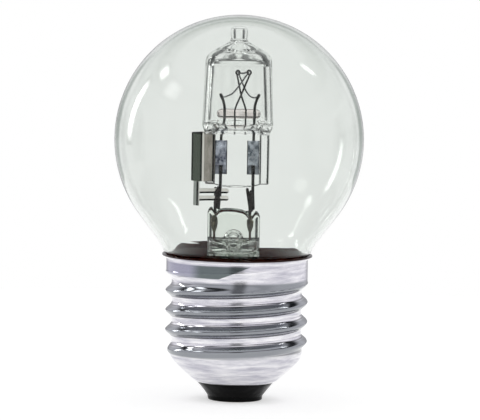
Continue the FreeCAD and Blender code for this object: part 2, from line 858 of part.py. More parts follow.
def build_capsule(held):
    body = new_body("capsule_glass")
    wall = size("capsule_wall")
    foot_radius, top_radius = size("capsule_foot_radius"), size("capsule_top_radius")
    foot, top = size("capsule_foot_height"), size("capsule_top_height")
    nipple = size("nipple_radius")
    foot_bend, top_bend = size("capsule_foot_bend"), size("capsule_top_bend")
    turn = size("shoulder_turn")
    shoulder_centre = top_radius - top_bend
    turned(body, "quartz_tube", "Revolution", [
        (0, foot - foot_bend),
        (foot_radius - foot_bend, foot - foot_bend, foot_bend),
        (foot_radius, foot),
        (top_radius, top, top_bend),
        (shoulder_centre + top_bend * cosine(turn), top + top_bend * sine(turn)),
        (size("dome_radius"), size("dome_height")),
        (nipple, size("dome_height") + nipple / 2),
        (nipple, size("nipple_top_height") - nipple, nipple),
        (0, size("nipple_top_height")),
    ])
    half = size("pinch_width") / 2
    foot_face = size("pinch_foot_height")
    belly = size("pinch_belly")
    inner_half = half - size("rib_width")
    web = new_sketch(body, "pinch_web_face")
    draw_outline(web, [
        (-half, foot_face),
        (-inner_half, foot_face, (inner_half * inner_half + belly * belly) / belly / 2),
        (inner_half, foot_face),
        (half, foot_face),
        (half, size("pinch_top_height")),
        (-half, size("pinch_top_height")),
    ])
    padded(body, "pinch_web", "Pad", web, size("pinch_web"), True)
    for name, hand in (("rib_left", -1), ("rib_right", 1)):
        rib = new_sketch(body, f"{name}_face")
        near, far = half * hand, inner_half * hand
        draw_outline(rib, [
            (near, foot_face),
            (far, foot_face),
            (far, size("pinch_top_height")),
            (near, size("pinch_top_height")),
        ])
        padded(body, name, "Pad", rib, size("pinch_thickness"), True)
    inner_bend = top_bend - wall
    floor = size("cavity_foot_height")
    turned(body, "gas_space", "Groove", [
        (0, floor),
        (foot_radius - wall - foot_bend / 2, floor, foot_bend / 2),
        (foot_radius - wall, floor + foot_bend / 2),
        (top_radius - wall, top, inner_bend),
        (shoulder_centre + inner_bend * cosine(turn), top + inner_bend * sine(turn)),
        (0, size("cavity_top_height")),
    ])
    body.setExpression("Placement.Base.x", size("capsule_centre").text)
    return cut_from("capsule", body, held)


# Clip: one folded strip that grips the left rib, with a tongue and two fingers over the left lead

def strip_corners(points, thickness):
    """Outline of a folded strip from its middle line, with mitred folds."""
    half = thickness / 2
    sides = ([], [])
    for index, (x, y) in enumerate(points):
        before = points[max(index - 1, 0)]
        after = points[min(index + 1, len(points) - 1)]
        into = unit_step(before, (x, y)) if index > 0 else unit_step((x, y), after)
        out = unit_step((x, y), after) if index < len(points) - 1 else into
        along = into + out
        square = FreeCAD.Vector(-along.y, along.x, 0).normalize()
        reach = 1 / square.dot(FreeCAD.Vector(-into.y, into.x, 0))
        for corners, hand in zip(sides, (1, -1)):
            shift = square * (reach * hand)
            corners.append((x + half * shift.x, y + half * shift.y))
    return sides[0] + sides[1][::-1]


def unit_step(start, end):
    step = FreeCAD.Vector(
        Size.of(end[0]).value - Size.of(start[0]).value,
        Size.of(end[1]).value - Size.of(start[1]).value,
        0,
    )
    return step.normalize()


def build_support_clip():
    body = new_body("support_clip")
    sheet_wall = size("clip_thickness")
    rib_face = size("pinch_thickness") / 2 + sheet_wall / 2
    rib_edge = size("pinch_width") / 2 - size("capsule_centre") + sheet_wall
    foot = size("clip_foot_height")
    grip = [
        (-size("clip_lip_end"), -rib_face),
        (-rib_edge, -rib_face),
        (-size("clip_reach"), Size(0)),
        (-rib_edge, rib_face),
        (-size("clip_lip_end"), rib_face),
    ]
    spring = new_sketch(body, "spring_outline", "XY_Plane", foot)
    draw_outline(spring, strip_corners(grip, sheet_wall))
    padded(body, "spring", "Pad", spring, size("clip_top_height") - foot)
    slope = rib_face / (size("clip_reach") - rib_edge)
    outer, inner = size("tongue_outer"), size("tongue_inner")
    reach = size("clip_reach")
    tongue_line = [
        (-outer, -(reach - outer) * slope),
        (-inner, -(reach - inner) * slope),
    ]
    tongue = new_sketch(body, "tongue_outline", "XY_Plane", size("tongue_foot_height"))
    draw_outline(tongue, strip_corners(tongue_line, sheet_wall))
    padded(body, "tongue", "Pad", tongue, foot - size("tongue_foot_height") + sheet_wall)
    finger_face = -size("lead_radius") - sheet_wall / 2
    finger_line = [
        tongue_line[1],
        (size("finger_bend"), finger_face),
        (size("finger_end"), finger_face),
    ]
    for number in range(2):
        finger_foot = size("finger_top_height") - size("finger_width") - size("finger_pitch") * number
        finger = new_sketch(body, f"finger_outline_{number + 1}", "XY_Plane", finger_foot)
        draw_outline(finger, strip_corners(finger_line, sheet_wall))
        padded(body, f"finger_{number + 1}", "Pad", finger, size("finger_width"))
    return body


# Assembly

def build_all():
    seals, stiff, tails = build_leads()
    foils = build_foils()
    pins = build_pins()
    posts = build_posts()
    supports = build_supports()
    return [
        build_outer_bulb(),
        build_stem(seals + stiff + tails),
        build_exhaust_tube(),
        *seals,
        *stiff,
        *tails,
        build_capsule(foils + pins + posts + supports),
        *foils,
        *pins,
        *posts,
        *supports,
        build_bead(posts + supports),
        build_filament(),
        build_support_clip(),
        build_cap_shell(),
        build_cap_cement(),
        build_cap_insulator(),
        build_centre_contact(),
        build_contact_solder(),
    ]


def check_and_write(pieces):
    doc.recompute()
    for item in doc.Objects:
        if "Invalid" in item.State or "Error" in item.State:
            raise RuntimeError(f"{item.Name} failed: {item.State}")
    for piece in pieces:
        if piece.Shape.isNull() or not piece.Shape.isValid() or not piece.Shape.Solids:
            raise RuntimeError(f"{piece.Label} has no valid solid")
    os.makedirs("parts", exist_ok=True)
    for piece in pieces:
        piece.Shape.exportStep(f"parts/{piece.Label}.step")
        print(piece.Label, len(piece.Shape.Solids), round(piece.Shape.Volume, 3))


check_and_write(build_all())
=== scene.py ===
"""The looks of a clear globe lamp with a halogen capsule and a screw cap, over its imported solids.

All sizes are millimetres in the lamp's own frame: z runs up from the contact's underside,
x to the right of the photograph and y away from its camera.
"""

import logging
import math
from dataclasses import dataclass
from enum import Enum
from typing import Any, Sequence

import bpy
import numpy as np
from mathutils import Matrix, Vector

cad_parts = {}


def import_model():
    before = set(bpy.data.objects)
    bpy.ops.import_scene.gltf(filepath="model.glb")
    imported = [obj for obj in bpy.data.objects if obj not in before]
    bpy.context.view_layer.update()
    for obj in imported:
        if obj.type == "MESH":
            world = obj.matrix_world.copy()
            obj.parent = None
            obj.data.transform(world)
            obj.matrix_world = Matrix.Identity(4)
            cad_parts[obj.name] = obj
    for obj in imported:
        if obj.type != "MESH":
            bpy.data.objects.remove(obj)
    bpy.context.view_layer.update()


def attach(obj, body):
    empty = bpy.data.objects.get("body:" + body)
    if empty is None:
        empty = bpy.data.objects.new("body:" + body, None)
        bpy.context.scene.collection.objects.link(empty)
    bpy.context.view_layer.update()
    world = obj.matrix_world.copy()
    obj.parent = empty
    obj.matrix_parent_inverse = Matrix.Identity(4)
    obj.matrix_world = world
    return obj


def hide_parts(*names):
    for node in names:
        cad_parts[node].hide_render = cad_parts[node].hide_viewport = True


MM = 0.001
BODY = "root"
WHITE = (1.0, 1.0, 1.0, 1.0)
AXIS_Y = (0.0, 1.0, 0.0)
GLASS_CREASE = 60.0
LOG = logging.getLogger("globe_lamp")

Array = np.ndarray
Tree = bpy.types.NodeTree
Node = bpy.types.Node
Socket = bpy.types.NodeSocket
Material = bpy.types.Material
Point = tuple[float, float, float]
Colour = tuple[float, float, float, float]
Coat = tuple[Any, Sequence[Sequence["Step"]]]


# Surfaces as whole arrays

@dataclass
class Surface:
    """Points in millimetres and the faces that join them."""

    points: Array
    faces: list[list[int]]

    def volume(self) -> float:
        """Signed volume: a sixth of the summed triple products of each face's fan of triangles.

        Returns:
            Cubic millimetres, negative where the faces look inwards.
        """
        total = 0.0
        for size in {len(face) for face in self.faces}:
            corners = self.points[np.array([face for face in self.faces if len(face) == size])]
            for step in range(1, size - 1):
                cross = np.cross(corners[:, step], corners[:, step + 1])
                total += float((corners[:, 0] * cross).sum())
        return total / 6.0

    def turned_over(self) -> "Surface":
        """The same surface with its faces looking the other way."""
        return Surface(self.points, [face[::-1] for face in self.faces])

    def facing(self, outward: bool = True) -> "Surface":
        """Make the faces of a closed surface look outwards.

        Args:
            outward: False for the wall of a hollow, whose faces look into the hollow.

        Returns:
            The surface, turned over where its signed volume has the wrong sign.
        """
        return self if (self.volume() > 0.0) == outward else self.turned_over()


def join(parts: Sequence[Surface]) -> Surface:
    """Put several surfaces into one mesh.

    Args:
        parts: Surfaces, each with its own numbering of points.

    Returns:
        One surface with all points and faces.
    """
    faces: list[list[int]] = []
    start = 0
    for part in parts:
        faces.extend([[number + start for number in face] for face in part.faces])
        start += len(part.points)
    return Surface(np.vstack([part.points for part in parts]), faces)


def net(points: Array, loop: bool = False, foot: bool = False, head: bool = False) -> Surface:
    """Join a grid of points by four-cornered faces.

    Args:
        points: Array [row, column, xyz]; the last column meets the first.
        loop: Whether the last row meets the first.
        foot: Whether the first row is closed by a fan to its mean point.
        head: Whether the last row is closed by a fan to its mean point.

    Returns:
        The surface.
    """
    rows, columns = points.shape[:2]
    number = np.arange(rows * columns).reshape(rows, columns)
    number = np.hstack([number, number[:, :1]])
    if loop:
        number = np.vstack([number, number[:1]])
    quads = np.stack([number[:-1, :-1], number[:-1, 1:], number[1:, 1:], number[1:, :-1]], axis=-1)
    faces = quads.reshape(-1, 4).tolist()
    flat = [points.reshape(-1, 3)]
    for wanted, row in ((foot, 0), (head, -1)):
        if not wanted:
            continue
        edge = number[row]
        centre = np.full(len(edge) - 1, sum(len(block) for block in flat))
        flat.append(points[row].mean(axis=0, keepdims=True))
        order = (centre, edge[1:], edge[:-1]) if row == 0 else (centre, edge[:-1], edge[1:])
        faces.extend(np.stack(order, axis=-1).tolist())
    return Surface(np.vstack(flat), faces)


def arc(x: float, z: float, radius: float, start: float, end: float, steps: int = 24) -> Array:
    """Points (x + radius cos a, z + radius sin a) for a from start to end.

    Args:
        x: Centre's distance from the axis.
        z: Centre's height.
        radius: Radius of the arc.
        start: First angle in degrees, counted from outwards to up.
        end: Last angle in degrees.
        steps: Number of points.

    Returns:
        Array [point, (radius, height)].
    """
    angle = np.radians(np.linspace(start, end, steps))
    return np.stack([x + radius * np.cos(angle), z + radius * np.sin(angle)], axis=-1)


def circle(count: int) -> Array:
    """Even angles round a full turn."""
    return np.arange(count) * 2.0 * math.pi / count


def rings(radius: Array, height: Array, angle: Array, centre: float = 0.0) -> Array:
    """Rings about an upright axis: (centre + r cos a, r sin a, z).

    Args:
        radius: Array [row, 1] or [row, column].
        height: Array [row, 1] or [row, column].
        angle: Angles of the columns.
        centre: Axis place along x.

    Returns:
        Array [row, column, xyz].
    """
    return np.stack([
        centre + radius * np.cos(angle),
        radius * np.sin(angle),
        height + 0.0 * angle,
    ], axis=-1)


def lathe(profile: Array, columns: int, centre: float = 0.0, loop: bool = False) -> Surface:
    """Turn a half outline about an upright axis.

    Args:
        profile: Array [point, (radius, height)].
        columns: Number of steps round the axis.
        centre: Axis place along x.
        loop: True for an outline that closes on itself, else both ends are closed by fans.

    Returns:
        A closed surface that looks outwards.
    """
    grid = rings(profile[:, :1], profile[:, 1:], circle(columns), centre)
    return net(grid, loop=loop, foot=not loop, head=not loop).facing()


def inset(profile: Array, wall: float) -> Array:
    """Move a half outline that runs downwards into the wall, square to its own direction.

    Args:
        profile: Array [point, (radius, height)], from the top pole down.
        wall: Distance inwards.

    Returns:
        The inner outline.
    """
    way = unit(np.gradient(profile, axis=0))
    return profile - wall * np.stack([-way[:, 1], way[:, 0]], axis=-1)


def spline(corners: Sequence[Sequence[float]], steps: int = 12) -> Array:
    """A smooth line through points: cubic pieces whose slope at a point is half its neighbours' difference.

    Args:
        corners: The points, in two or three dimensions.
        steps: Points to a piece.

    Returns:
        Array of points.
    """
    point = np.asarray(corners, dtype=float)
    held = np.vstack([2.0 * point[0] - point[1], point, 2.0 * point[-1] - point[-2]])
    before, start, end, after = held[:-3, None], held[1:-2, None], held[2:-1, None], held[3:, None]
    t = np.linspace(0.0, 1.0, steps, endpoint=False)[None, :, None]
    line = 0.5 * (
        2.0 * start
        + (end - before) * t
        + (2.0 * before - 5.0 * start + 4.0 * end - after) * t ** 2
        + (3.0 * start - before - 3.0 * end + after) * t ** 3
    )
    return np.vstack([line.reshape(-1, point.shape[1]), point[-1:]])


def bent(corners: Sequence[Sequence[float]], bend: float, steps: int = 8) -> Array:
    """Straight runs whose corners are rounded by parabolas that start a bend's length away.

    Args:
        corners: The corner points, in two or three dimensions.
        bend: Length taken from each run at a corner.
        steps: Points on each rounding.

    Returns:
        Array of points.
    """
    point = np.asarray(corners, dtype=float)
    way = np.diff(point, axis=0)
    length = np.linalg.norm(way, axis=1, keepdims=True)
    cut = np.minimum(bend, 0.49 * length)
    near = point[1:] - way / length * cut
    far = point[:-1] + way / length * cut
    t = np.linspace(0.0, 1.0, steps)[None, :, None]
    middle = point[1:-1, None]
    curve = near[:-1, None] * (1.0 - t) ** 2 + 2.0 * middle * t * (1.0 - t) + far[1:, None] * t ** 2
    return np.vstack([point[:1], curve.reshape(-1, point.shape[1]), point[-1:]])


def even(line: Array, step: float) -> Array:
    """Space points evenly along a line.

    Args:
        line: Array of points.
        step: Wanted distance between points.

    Returns:
        The points, with both ends kept.
    """
    run = np.concatenate([[0.0], np.cumsum(np.linalg.norm(np.diff(line, axis=0), axis=1))])
    at = np.linspace(0.0, run[-1], max(2, int(run[-1] / step) + 1))
    return np.stack([np.interp(at, run, line[:, axis]) for axis in range(line.shape[1])], axis=-1)


def unit(rows: Array) -> Array:
    """Rows of length one."""
    return rows / np.maximum(np.linalg.norm(rows, axis=-1, keepdims=True), 1e-12)


def wire(path: Array, radius: float | Array, sides: int = 16, square: Point | Array = AXIS_Y,
         rounded: bool = True) -> Surface:
    """Carry a circle along a line: point + radius (a cos t + b sin t), a and b square to the line.

    Args:
        path: Array [point, xyz].
        radius: Radius, one for all or one a point.
        sides: Points round the circle.
        square: A direction never along the line, one for all or one a point.
        rounded: Whether the ends are half balls, else flat.

    Returns:
        A closed surface that looks outwards.
    """
    radii = np.broadcast_to(np.asarray(radius, dtype=float), (len(path),))
    way = unit(np.gradient(path, axis=0))
    across = unit(np.cross(way, np.broadcast_to(np.asarray(square, dtype=float), path.shape)))
    if rounded:
        turn = np.radians(np.array([80.0, 60.0, 40.0, 20.0]))
        first = path[:1] - way[:1] * (radii[0] * np.sin(turn))[:, None]
        last = path[-1:] + way[-1:] * (radii[-1] * np.sin(turn[::-1]))[:, None]
        path = np.vstack([first, path, last])
        way = np.vstack([np.repeat(way[:1], 4, axis=0), way, np.repeat(way[-1:], 4, axis=0)])
        across = np.vstack([np.repeat(across[:1], 4, axis=0), across, np.repeat(across[-1:], 4, axis=0)])
        radii = np.concatenate([radii[0] * np.cos(turn), radii, radii[-1] * np.cos(turn[::-1])])
    other = np.cross(way, across)
    angle = circle(sides)[None, :, None]
    ring = across[:, None] * np.cos(angle) + other[:, None] * np.sin(angle)
    return net(path[:, None] + radii[:, None, None] * ring, foot=True, head=True).facing()


def strip(line: Array, thickness: float, foot: float | Array, top: float | Array,
          edge: float = 0.06) -> Surface:
    """Stand a sheet strip on a line in plan: a thin upright rectangle with rounded edges along it.

    Args:
        line: Array [point, xy] of the sheet's middle.
        thickness: Sheet thickness.
        foot: Height of the lower edge, one for all or one a point.
        top: Height of the upper edge, one for all or one a point.
        edge: Radius of the rounded edges.

    Returns:
        A closed surface that looks outwards.
    """
    low = np.broadcast_to(np.asarray(foot, dtype=float), (len(line),))[:, None]
    high = np.broadcast_to(np.asarray(top, dtype=float), (len(line),))[:, None]
    way = unit(np.gradient(line, axis=0))
    square = np.stack([-way[:, 1], way[:, 0]], axis=-1)
    turn = np.radians(np.linspace(0.0, 90.0, 4))
    half = thickness / 2.0
    corner_x = half - edge + edge * np.cos(turn)
    corner_z = edge * np.sin(turn) - edge
    side = np.linspace(0.0, 1.0, 14)[1:-1]
    flat, level = np.full(len(side), half), np.zeros(len(side))
    across = np.concatenate([corner_x, -corner_x[::-1], -flat, -corner_x, corner_x[::-1], flat])
    share = np.concatenate([np.ones(8), side[::-1], np.zeros(8), side])
    shift = np.concatenate([corner_z, corner_z[::-1], level, -corner_z, -corner_z[::-1], level])
    plan = line[:, None] + square[:, None] * across[None, :, None]
    height = low + (high - low) * share + shift
    return net(np.concatenate([plan, height[..., None]], axis=-1), foot=True, head=True).facing()


def smooth(value: Array, start: float, end: float) -> Array:
    """Ease from 0 at start to 1 at end: t squared times (3 - 2 t)."""
    t = np.clip((value - start) / (end - start), 0.0, 1.0)
    return t * t * (3.0 - 2.0 * t)


def boxy(wave: Array, power: Array) -> Array:
    """A cosine or sine that squares a ring: its sign times its size to a power, 1 for round."""
    return np.sign(wave) * np.abs(wave) ** power


# Materials

def linear(code: str) -> Colour:
    """Turn an sRGB hex code into linear light.

    Args:
        code: Six hex digits.

    Returns:
        Red, green, blue and an alpha of one.
    """
    parts = [int(code[place:place + 2], 16) / 255.0 for place in (0, 2, 4)]
    red, green, blue = (
        part / 12.92 if part <= 0.04045 else ((part + 0.055) / 1.055) ** 2.4 for part in parts
    )
    return red, green, blue, 1.0


def add_node(tree: Tree, kind: str, inputs: dict[Any, Any] | Sequence[Any] = (), **settings: Any) -> Node:
    """Add a node with its settings, values and links.

    Args:
        tree: The node tree.
        kind: The node's type name.
        inputs: Values or sockets for its inputs, by name or number, or in order from the first.
        **settings: Properties of the node.

    Returns:
        The node.
    """
    node = tree.nodes.new(kind)
    for name, value in settings.items():
        setattr(node, name, value)
    for key, value in inputs.items() if isinstance(inputs, dict) else enumerate(inputs):
        if isinstance(value, Socket):
            tree.links.new(value, node.inputs[key])
        else:
            node.inputs[key].default_value = value
    return node


def blank_material(name: str) -> Material:
    """Make a material with an empty node tree.

    Args:
        name: The material's name.

    Returns:
        The material.
    """
    material = bpy.data.materials.new(name)
    material.use_nodes = True
    material.node_tree.nodes.clear()
    return material


@dataclass(frozen=True)
class Step:
    """A smooth step of a socket's value: low up to start, high from end on."""

    value: Socket
    start: float
    end: float
    low: float = 0.0
    high: float = 1.0


def between(value: Socket, low: float, high: float, soft: float) -> list[Step]:
    """Two steps whose product is 1 between low and high and 0 outside, with soft edges of that width."""
    return [Step(value, low - soft, low), Step(value, high, high + soft, 1.0, 0.0)]


def region(tree: Tree, *parts: Sequence[Step]) -> Socket:
    """The share of a region: the largest of its parts, each the product of its smooth steps.

    Args:
        tree: Node tree to add to.
        *parts: The steps of each part.

    Returns:
        The share's socket.
    """
    largest = None
    for steps in parts:
        product = None
        for step in steps:
            share = add_node(tree, "ShaderNodeMapRange", (
                step.value, step.start, step.end, step.low, step.high,
            ), interpolation_type="SMOOTHSTEP").outputs["Result"]
            if product is not None:
                share = add_node(tree, "ShaderNodeMath", (product, share), operation="MULTIPLY").outputs[0]
            product = share
        if largest is not None:
            product = add_node(tree, "ShaderNodeMath", (largest, product), operation="MAXIMUM").outputs[0]
        largest = product
    return largest


def speckle(tree: Tree, place: Socket, sizes: Point, **look: float) -> Socket:
    """Noise whose features are about as large as the three sizes.

    Args:
        tree: Node tree to add to.
        place: Object coordinates.
        sizes: Size of a feature along x, y and z, in millimetres.
        **look: Values of the noise's own inputs, such as Detail.

    Returns:
        The noise's socket, from 0 to 1.
    """
    scaled = add_node(tree, "ShaderNodeMapping", {
        "Vector": place, "Scale": tuple(1.0 / (size * MM) for size in sizes),
    })
    return add_node(tree, "ShaderNodeTexNoise", {
        "Vector": scaled.outputs["Vector"], "Scale": 1.0, **look,
    }).outputs["Fac"]


def millimetres(tree: Tree, place: Socket) -> list[Socket]:
    """The x, y and z of Object coordinates, counted in millimetres."""
    scaled = add_node(tree, "ShaderNodeMapping", {"Vector": place, "Scale": (1.0 / MM, 1.0 / MM, 1.0 / MM)})
    return list(add_node(tree, "ShaderNodeSeparateXYZ", {"Vector": scaled.outputs["Vector"]}).outputs)


@dataclass(frozen=True)
class Finish:
    """A finish with one Principled surface, whose pattern a subclass adds."""

    name: str

    def material(self) -> Material:
        """Make the material.

        Returns:
            The finished material.
        """
        material = blank_material(self.name)
        tree = material.node_tree
        out = add_node(tree, "ShaderNodeOutputMaterial")
        shader = add_node(tree, "ShaderNodeBsdfPrincipled")
        place = add_node(tree, "ShaderNodeTexCoord").outputs["Object"]
        self.dress(tree, shader, place)
        tree.links.new(shader.outputs["BSDF"], out.inputs["Surface"])
        self.fill(tree, out)
        return material

    def dress(self, tree: Tree, shader: Node, place: Socket) -> None:
        """Set the surface; each finish has its own."""
        raise NotImplementedError

    def skin(self, tree: Tree, shader: Node, tone: Socket, height: Socket, depth: float) -> None:
        """Colour the shader and bump it.

        Args:
            tree: The material's node tree.
            shader: Its Principled node.
            tone: The colour's socket.
            height: The bump's pattern, from 0 to 1.
            depth: What 1 stands for, in millimetres.
        """
        bump = add_node(tree, "ShaderNodeBump", {"Height": height, "Distance": depth * MM, "Strength": 1.0})
        tree.links.new(tone, shader.inputs["Base Color"])
        tree.links.new(bump.outputs["Normal"], shader.inputs["Normal"])

    def fill(self, tree: Tree, out: Node) -> None:
        """Set what fills the inside; most finishes have nothing there."""


@dataclass(frozen=True)
class GlassFinish(Finish):
    """Blown, drawn or pressed glass: clear, faintly tinted, with slow ripples from the flame."""

    tint: str
    streak: str
    ior: float
    ripple: float
    depth: float
    absorbed: str = "ffffff"
    density: float = 0.0
    glare: float = 0.3
    folds_below: float = 0.0

    def dress(self, tree: Tree, shader: Node, place: Socket) -> None:
        """Tint in soft streaks along the drawing direction and bump the skin with slow ripples.

        Args:
            tree: The material's node tree.
            shader: Its Principled node.
            place: Object coordinates.
        """
        drawn = (self.ripple, self.ripple, self.ripple / 0.35)
        cords = speckle(tree, place, drawn, Detail=2.0, Roughness=0.5)
        tone = add_node(tree, "ShaderNodeMix", {
            0: cords, 6: linear(self.tint), 7: linear(self.streak),
        }, data_type="RGBA")
        self.skin(tree, shader, tone.outputs[2], cords, self.depth)
        shader.inputs["Roughness"].default_value = 0.0
        shader.inputs["IOR"].default_value = self.ior
        shader.inputs["Specular Tint"].default_value = (self.glare, self.glare, self.glare, 1.0)
        shader.inputs["Transmission Weight"].default_value = 1.0
        if self.folds_below > 0.0:
            tree.links.new(self.clearness(tree, place), shader.inputs["Transmission Weight"])

    def clearness(self, tree: Tree, place: Socket) -> Socket:
        """Cloud the glass in upright streaks below a height, where its folds scatter the light.

        Args:
            tree: The material's node tree.
            place: Object coordinates.

        Returns:
            The share of light that goes through.
        """
        streaks = speckle(tree, place, (2.6, 2.6, 2.6 / 0.45), Detail=0.0, Distortion=0.7)
        z = millimetres(tree, place)[2]
        cloud = region(tree, [
            Step(streaks, 0.48, 0.62, 0.0, 0.22),
            Step(z, self.folds_below - 0.35, self.folds_below - 0.1, 1.0, 0.0),
        ])
        return add_node(tree, "ShaderNodeMath", (1.0, cloud), operation="SUBTRACT").outputs[0]

    def fill(self, tree: Tree, out: Node) -> None:
        """Let long paths through the glass go darker, as at the globe's rim.

        Args:
            tree: The material's node tree.
            out: Its output node.
        """
        if self.density <= 0.0:
            return
        inside = add_node(tree, "ShaderNodeVolumeAbsorption", {
            "Color": linear(self.absorbed), "Density": self.density / MM,
        })
        tree.links.new(inside.outputs["Volume"], out.inputs["Volume"])


@dataclass(frozen=True)
class MetalFinish(Finish):
    """A drawn, rolled or sheared metal with soft stains and a fine directional bump."""

    bright: str
    stained: str
    stain: Point
    shine: float
    dull: float
    line: Point
    line_depth: float
    metallic: float = 1.0
    sharp: float = 0.15

    def dress(self, tree: Tree, shader: Node, place: Socket) -> None:
        """Mix two tones by stains, vary the roughness with them and bump fine lines over the metal.

        Args:
            tree: The material's node tree.
            shader: Its Principled node.
            place: Object coordinates.
        """
        stains = speckle(tree, place, self.stain, Detail=4.0, Roughness=0.6)
        lines = speckle(tree, place, self.line, Detail=3.0)
        share = add_node(tree, "ShaderNodeMapRange", (stains, 0.5 - self.sharp, 0.5 + self.sharp))
        rough = add_node(tree, "ShaderNodeMapRange", (stains, 0.3, 0.7, self.shine, self.dull))
        tone = add_node(tree, "ShaderNodeMix", {
            0: share.outputs["Result"], 6: linear(self.bright), 7: linear(self.stained),
        }, data_type="RGBA").outputs[2]
        for coat, parts in self.coats(tree, place):
            tone = add_node(tree, "ShaderNodeMix", {
                0: region(tree, *parts), 6: tone, 7: coat,
            }, data_type="RGBA").outputs[2]
        self.skin(tree, shader, tone, lines, self.line_depth)
        tree.links.new(rough.outputs["Result"], shader.inputs["Roughness"])
        shader.inputs["Metallic"].default_value = self.metallic

    def coats(self, tree: Tree, place: Socket) -> list[Coat]:
        """Tones to lay over the metal, in order, each with its region; a plain metal has none."""
        return []


@dataclass(frozen=True)
class RolledFinish(MetalFinish):
    """Rolled sheet of the cap, with painted shade on the thread's crests and flanks, and painted light and
    shade on the skirt's front above the thread's run-out.
    """

    # painted shade: the grey of the thread's crests, for their darker reflection
    crest_painted_shade: str = "95989d"
    # painted shade: the dark bands on the thread's flanks
    flank_painted_shade: str = "3a3d40"
    smear: str = "2b1410"
    # painted light and painted shade for the skirt's front above the run-out
    skirt_painted_light: str = "a2a2b2"
    skirt_painted_shade: str = "6a7274"

    def coats(self, tree: Tree, place: Socket) -> list[Coat]:
        """Paint shade on the crests and flanks by radius, smear the rim, and paint light and shade on the
        skirt's front above the line where the thread runs out.

        The line stands level up to x = -3.3 and climbs by 0.404 from there to the right.

        Args:
            tree: The material's node tree.
            place: Object coordinates.

        Returns:
            The coats, in order.
        """
        x, y, z = millimetres(tree, place)
        flat = add_node(tree, "ShaderNodeMapping", {"Vector": place, "Scale": (1.0 / MM, 1.0 / MM, 0.0)})
        radius = add_node(tree, "ShaderNodeVectorMath", [flat.outputs["Vector"]],
                          operation="LENGTH").outputs["Value"]
        climb = add_node(tree, "ShaderNodeMapRange", (x, -3.3, 20.0, 0.0, 0.404 * 23.3)).outputs["Result"]
        above = add_node(tree, "ShaderNodeMath", (z, climb), operation="SUBTRACT").outputs[0]
        # painted light to the left and painted shade to the right of the skirt's front
        skirt_painted_tone = add_node(tree, "ShaderNodeMix", {
            0: region(tree, [Step(x, -9.0, -6.4)]), 6: linear(self.skirt_painted_light), 7: linear(self.skirt_painted_shade),
        }, data_type="RGBA").outputs[2]
        return [
            # painted shade on the crests
            (linear(self.crest_painted_shade), [[Step(radius, 12.08, 12.5), *between(z, 8.9, 22.3, 0.5)]]),
            # painted shade on the flanks
            (linear(self.flank_painted_shade), [[
                Step(radius, 12.07, 12.14, 0.0, 0.6), Step(radius, 12.26, 12.33, 1.0, 0.0),
                *between(z, 9.4, 22.0, 0.3),
            ]]),
            (linear(self.smear), [[Step(z, 26.52, 26.62)]]),
            # painted light and shade on the front of the skirt only
            (skirt_painted_tone, [[
                Step(above, 23.33, 23.45), Step(z, 25.6, 25.85, 1.0, 0.0), Step(y, -2.0, -1.0, 1.0, 0.0),
            ]]),
        ]


@dataclass(frozen=True)
class FoilFinish(MetalFinish):
    """Foil with painted shade along its edges and over its foot, and the dark print of its pin."""

    middle: float = 0.0
    half: float = 1.15
    # painted shade: the colour laid along the foil's edges and over its foot
    edge: str = "2a2c33"
    printed: str = "08080a"
    print_top: float = 43.4

    def coats(self, tree: Tree, place: Socket) -> list[Coat]:
        """Paint shade far from the middle line and over the foot, and print the end of the pin.

        Args:
            tree: The material's node tree.
            place: Object coordinates.

        Returns:
            The coats, in order.
        """
        x, _, z = millimetres(tree, place)
        side = add_node(tree, "ShaderNodeMath", (x, self.middle), operation="SUBTRACT")
        away = add_node(tree, "ShaderNodeMath", [side.outputs[0]], operation="ABSOLUTE").outputs[0]
        top = self.print_top
        return [
            # painted shade on the edges and the foot
            (linear(self.edge), [
                [Step(away, self.half - 0.26, self.half - 0.05)], [Step(z, top - 0.25, top, 0.45, 0.0)],
            ]),
            (linear(self.printed), [[Step(z, top - 0.25, top, 1.0, 0.0), Step(away, 0.3, 0.42, 1.0, 0.0)]]),
        ]


@dataclass(frozen=True)
class SpringFinish(MetalFinish):
    """Spring strip painted with light and shade: shaded outer panels, a highlight on the fold, dark outlines
    on its edges, and light below the clip with shadows under the fingers.
    """

    fold: float = -6.45
    # painted shade: the darker tone of the outer panels
    panel_painted_shade: str = "5a6058"
    # painted highlight: the pale of the fold line and of the strip below the clip
    pale: str = "ece8e4"
    # painted shade: the dark outlines on the edges and the shadows under the fingers, also used for the
    # stripe down the tongue
    dark: str = "191a19"
    # the grey painted on the tongue in place of the painted light
    tongue: str = "a3a7a4"
    finger_foots: tuple[float, ...] = (38.05, 36.7)

    def coats(self, tree: Tree, place: Socket) -> list[Coat]:
        """Paint shade on the outer panels, edges and finger undersides, paint light on the fold, fingers and
        tongue, and draw a dark stripe down the tongue.

        Args:
            tree: The material's node tree.
            place: Object coordinates.

        Returns:
            The coats, in order.
        """
        x, _, z = millimetres(tree, place)
        spring, below = Step(z, 40.2, 40.3), Step(z, 40.2, 40.3, 1.0, 0.0)
        tab = Step(x, -7.35, -7.2, 1.0, 0.0)
        return [
            # painted shade on the outer panels
            (linear(self.panel_painted_shade), [[Step(x, self.fold - 0.25, self.fold + 0.05, 1.0, 0.0)]]),
            # painted shade: dark outlines along the panels' edges and the top
            (linear(self.dark), [
                [*between(x, -6.98, -6.78, 0.1), spring], [*between(x, -4.8, -4.4, 0.1), spring],
                [Step(x, -8.5, -8.35, 1.0, 0.0), spring], [Step(z, 48.95, 49.05)],
            ]),
            # painted highlight on the fold
            (linear(self.pale), [[*between(x, -6.68, -6.4, 0.08), spring]]),
            # painted light on all of the strip below the clip
            (linear(self.pale), [[below]]),
            # the tongue painted grey, with a dark stripe down it
            (linear(self.tongue), [[below, tab]]),
            (linear(self.dark), [[below, tab, *between(x, -7.62, -7.42, 0.1)]]),
            # painted shadows under the fingers
            (linear(self.dark), [
                [*between(z, foot - 0.1, foot + 0.3, 0.06), Step(x, -7.15, -7.05)]
                for foot in self.finger_foots
            ]),
        ]


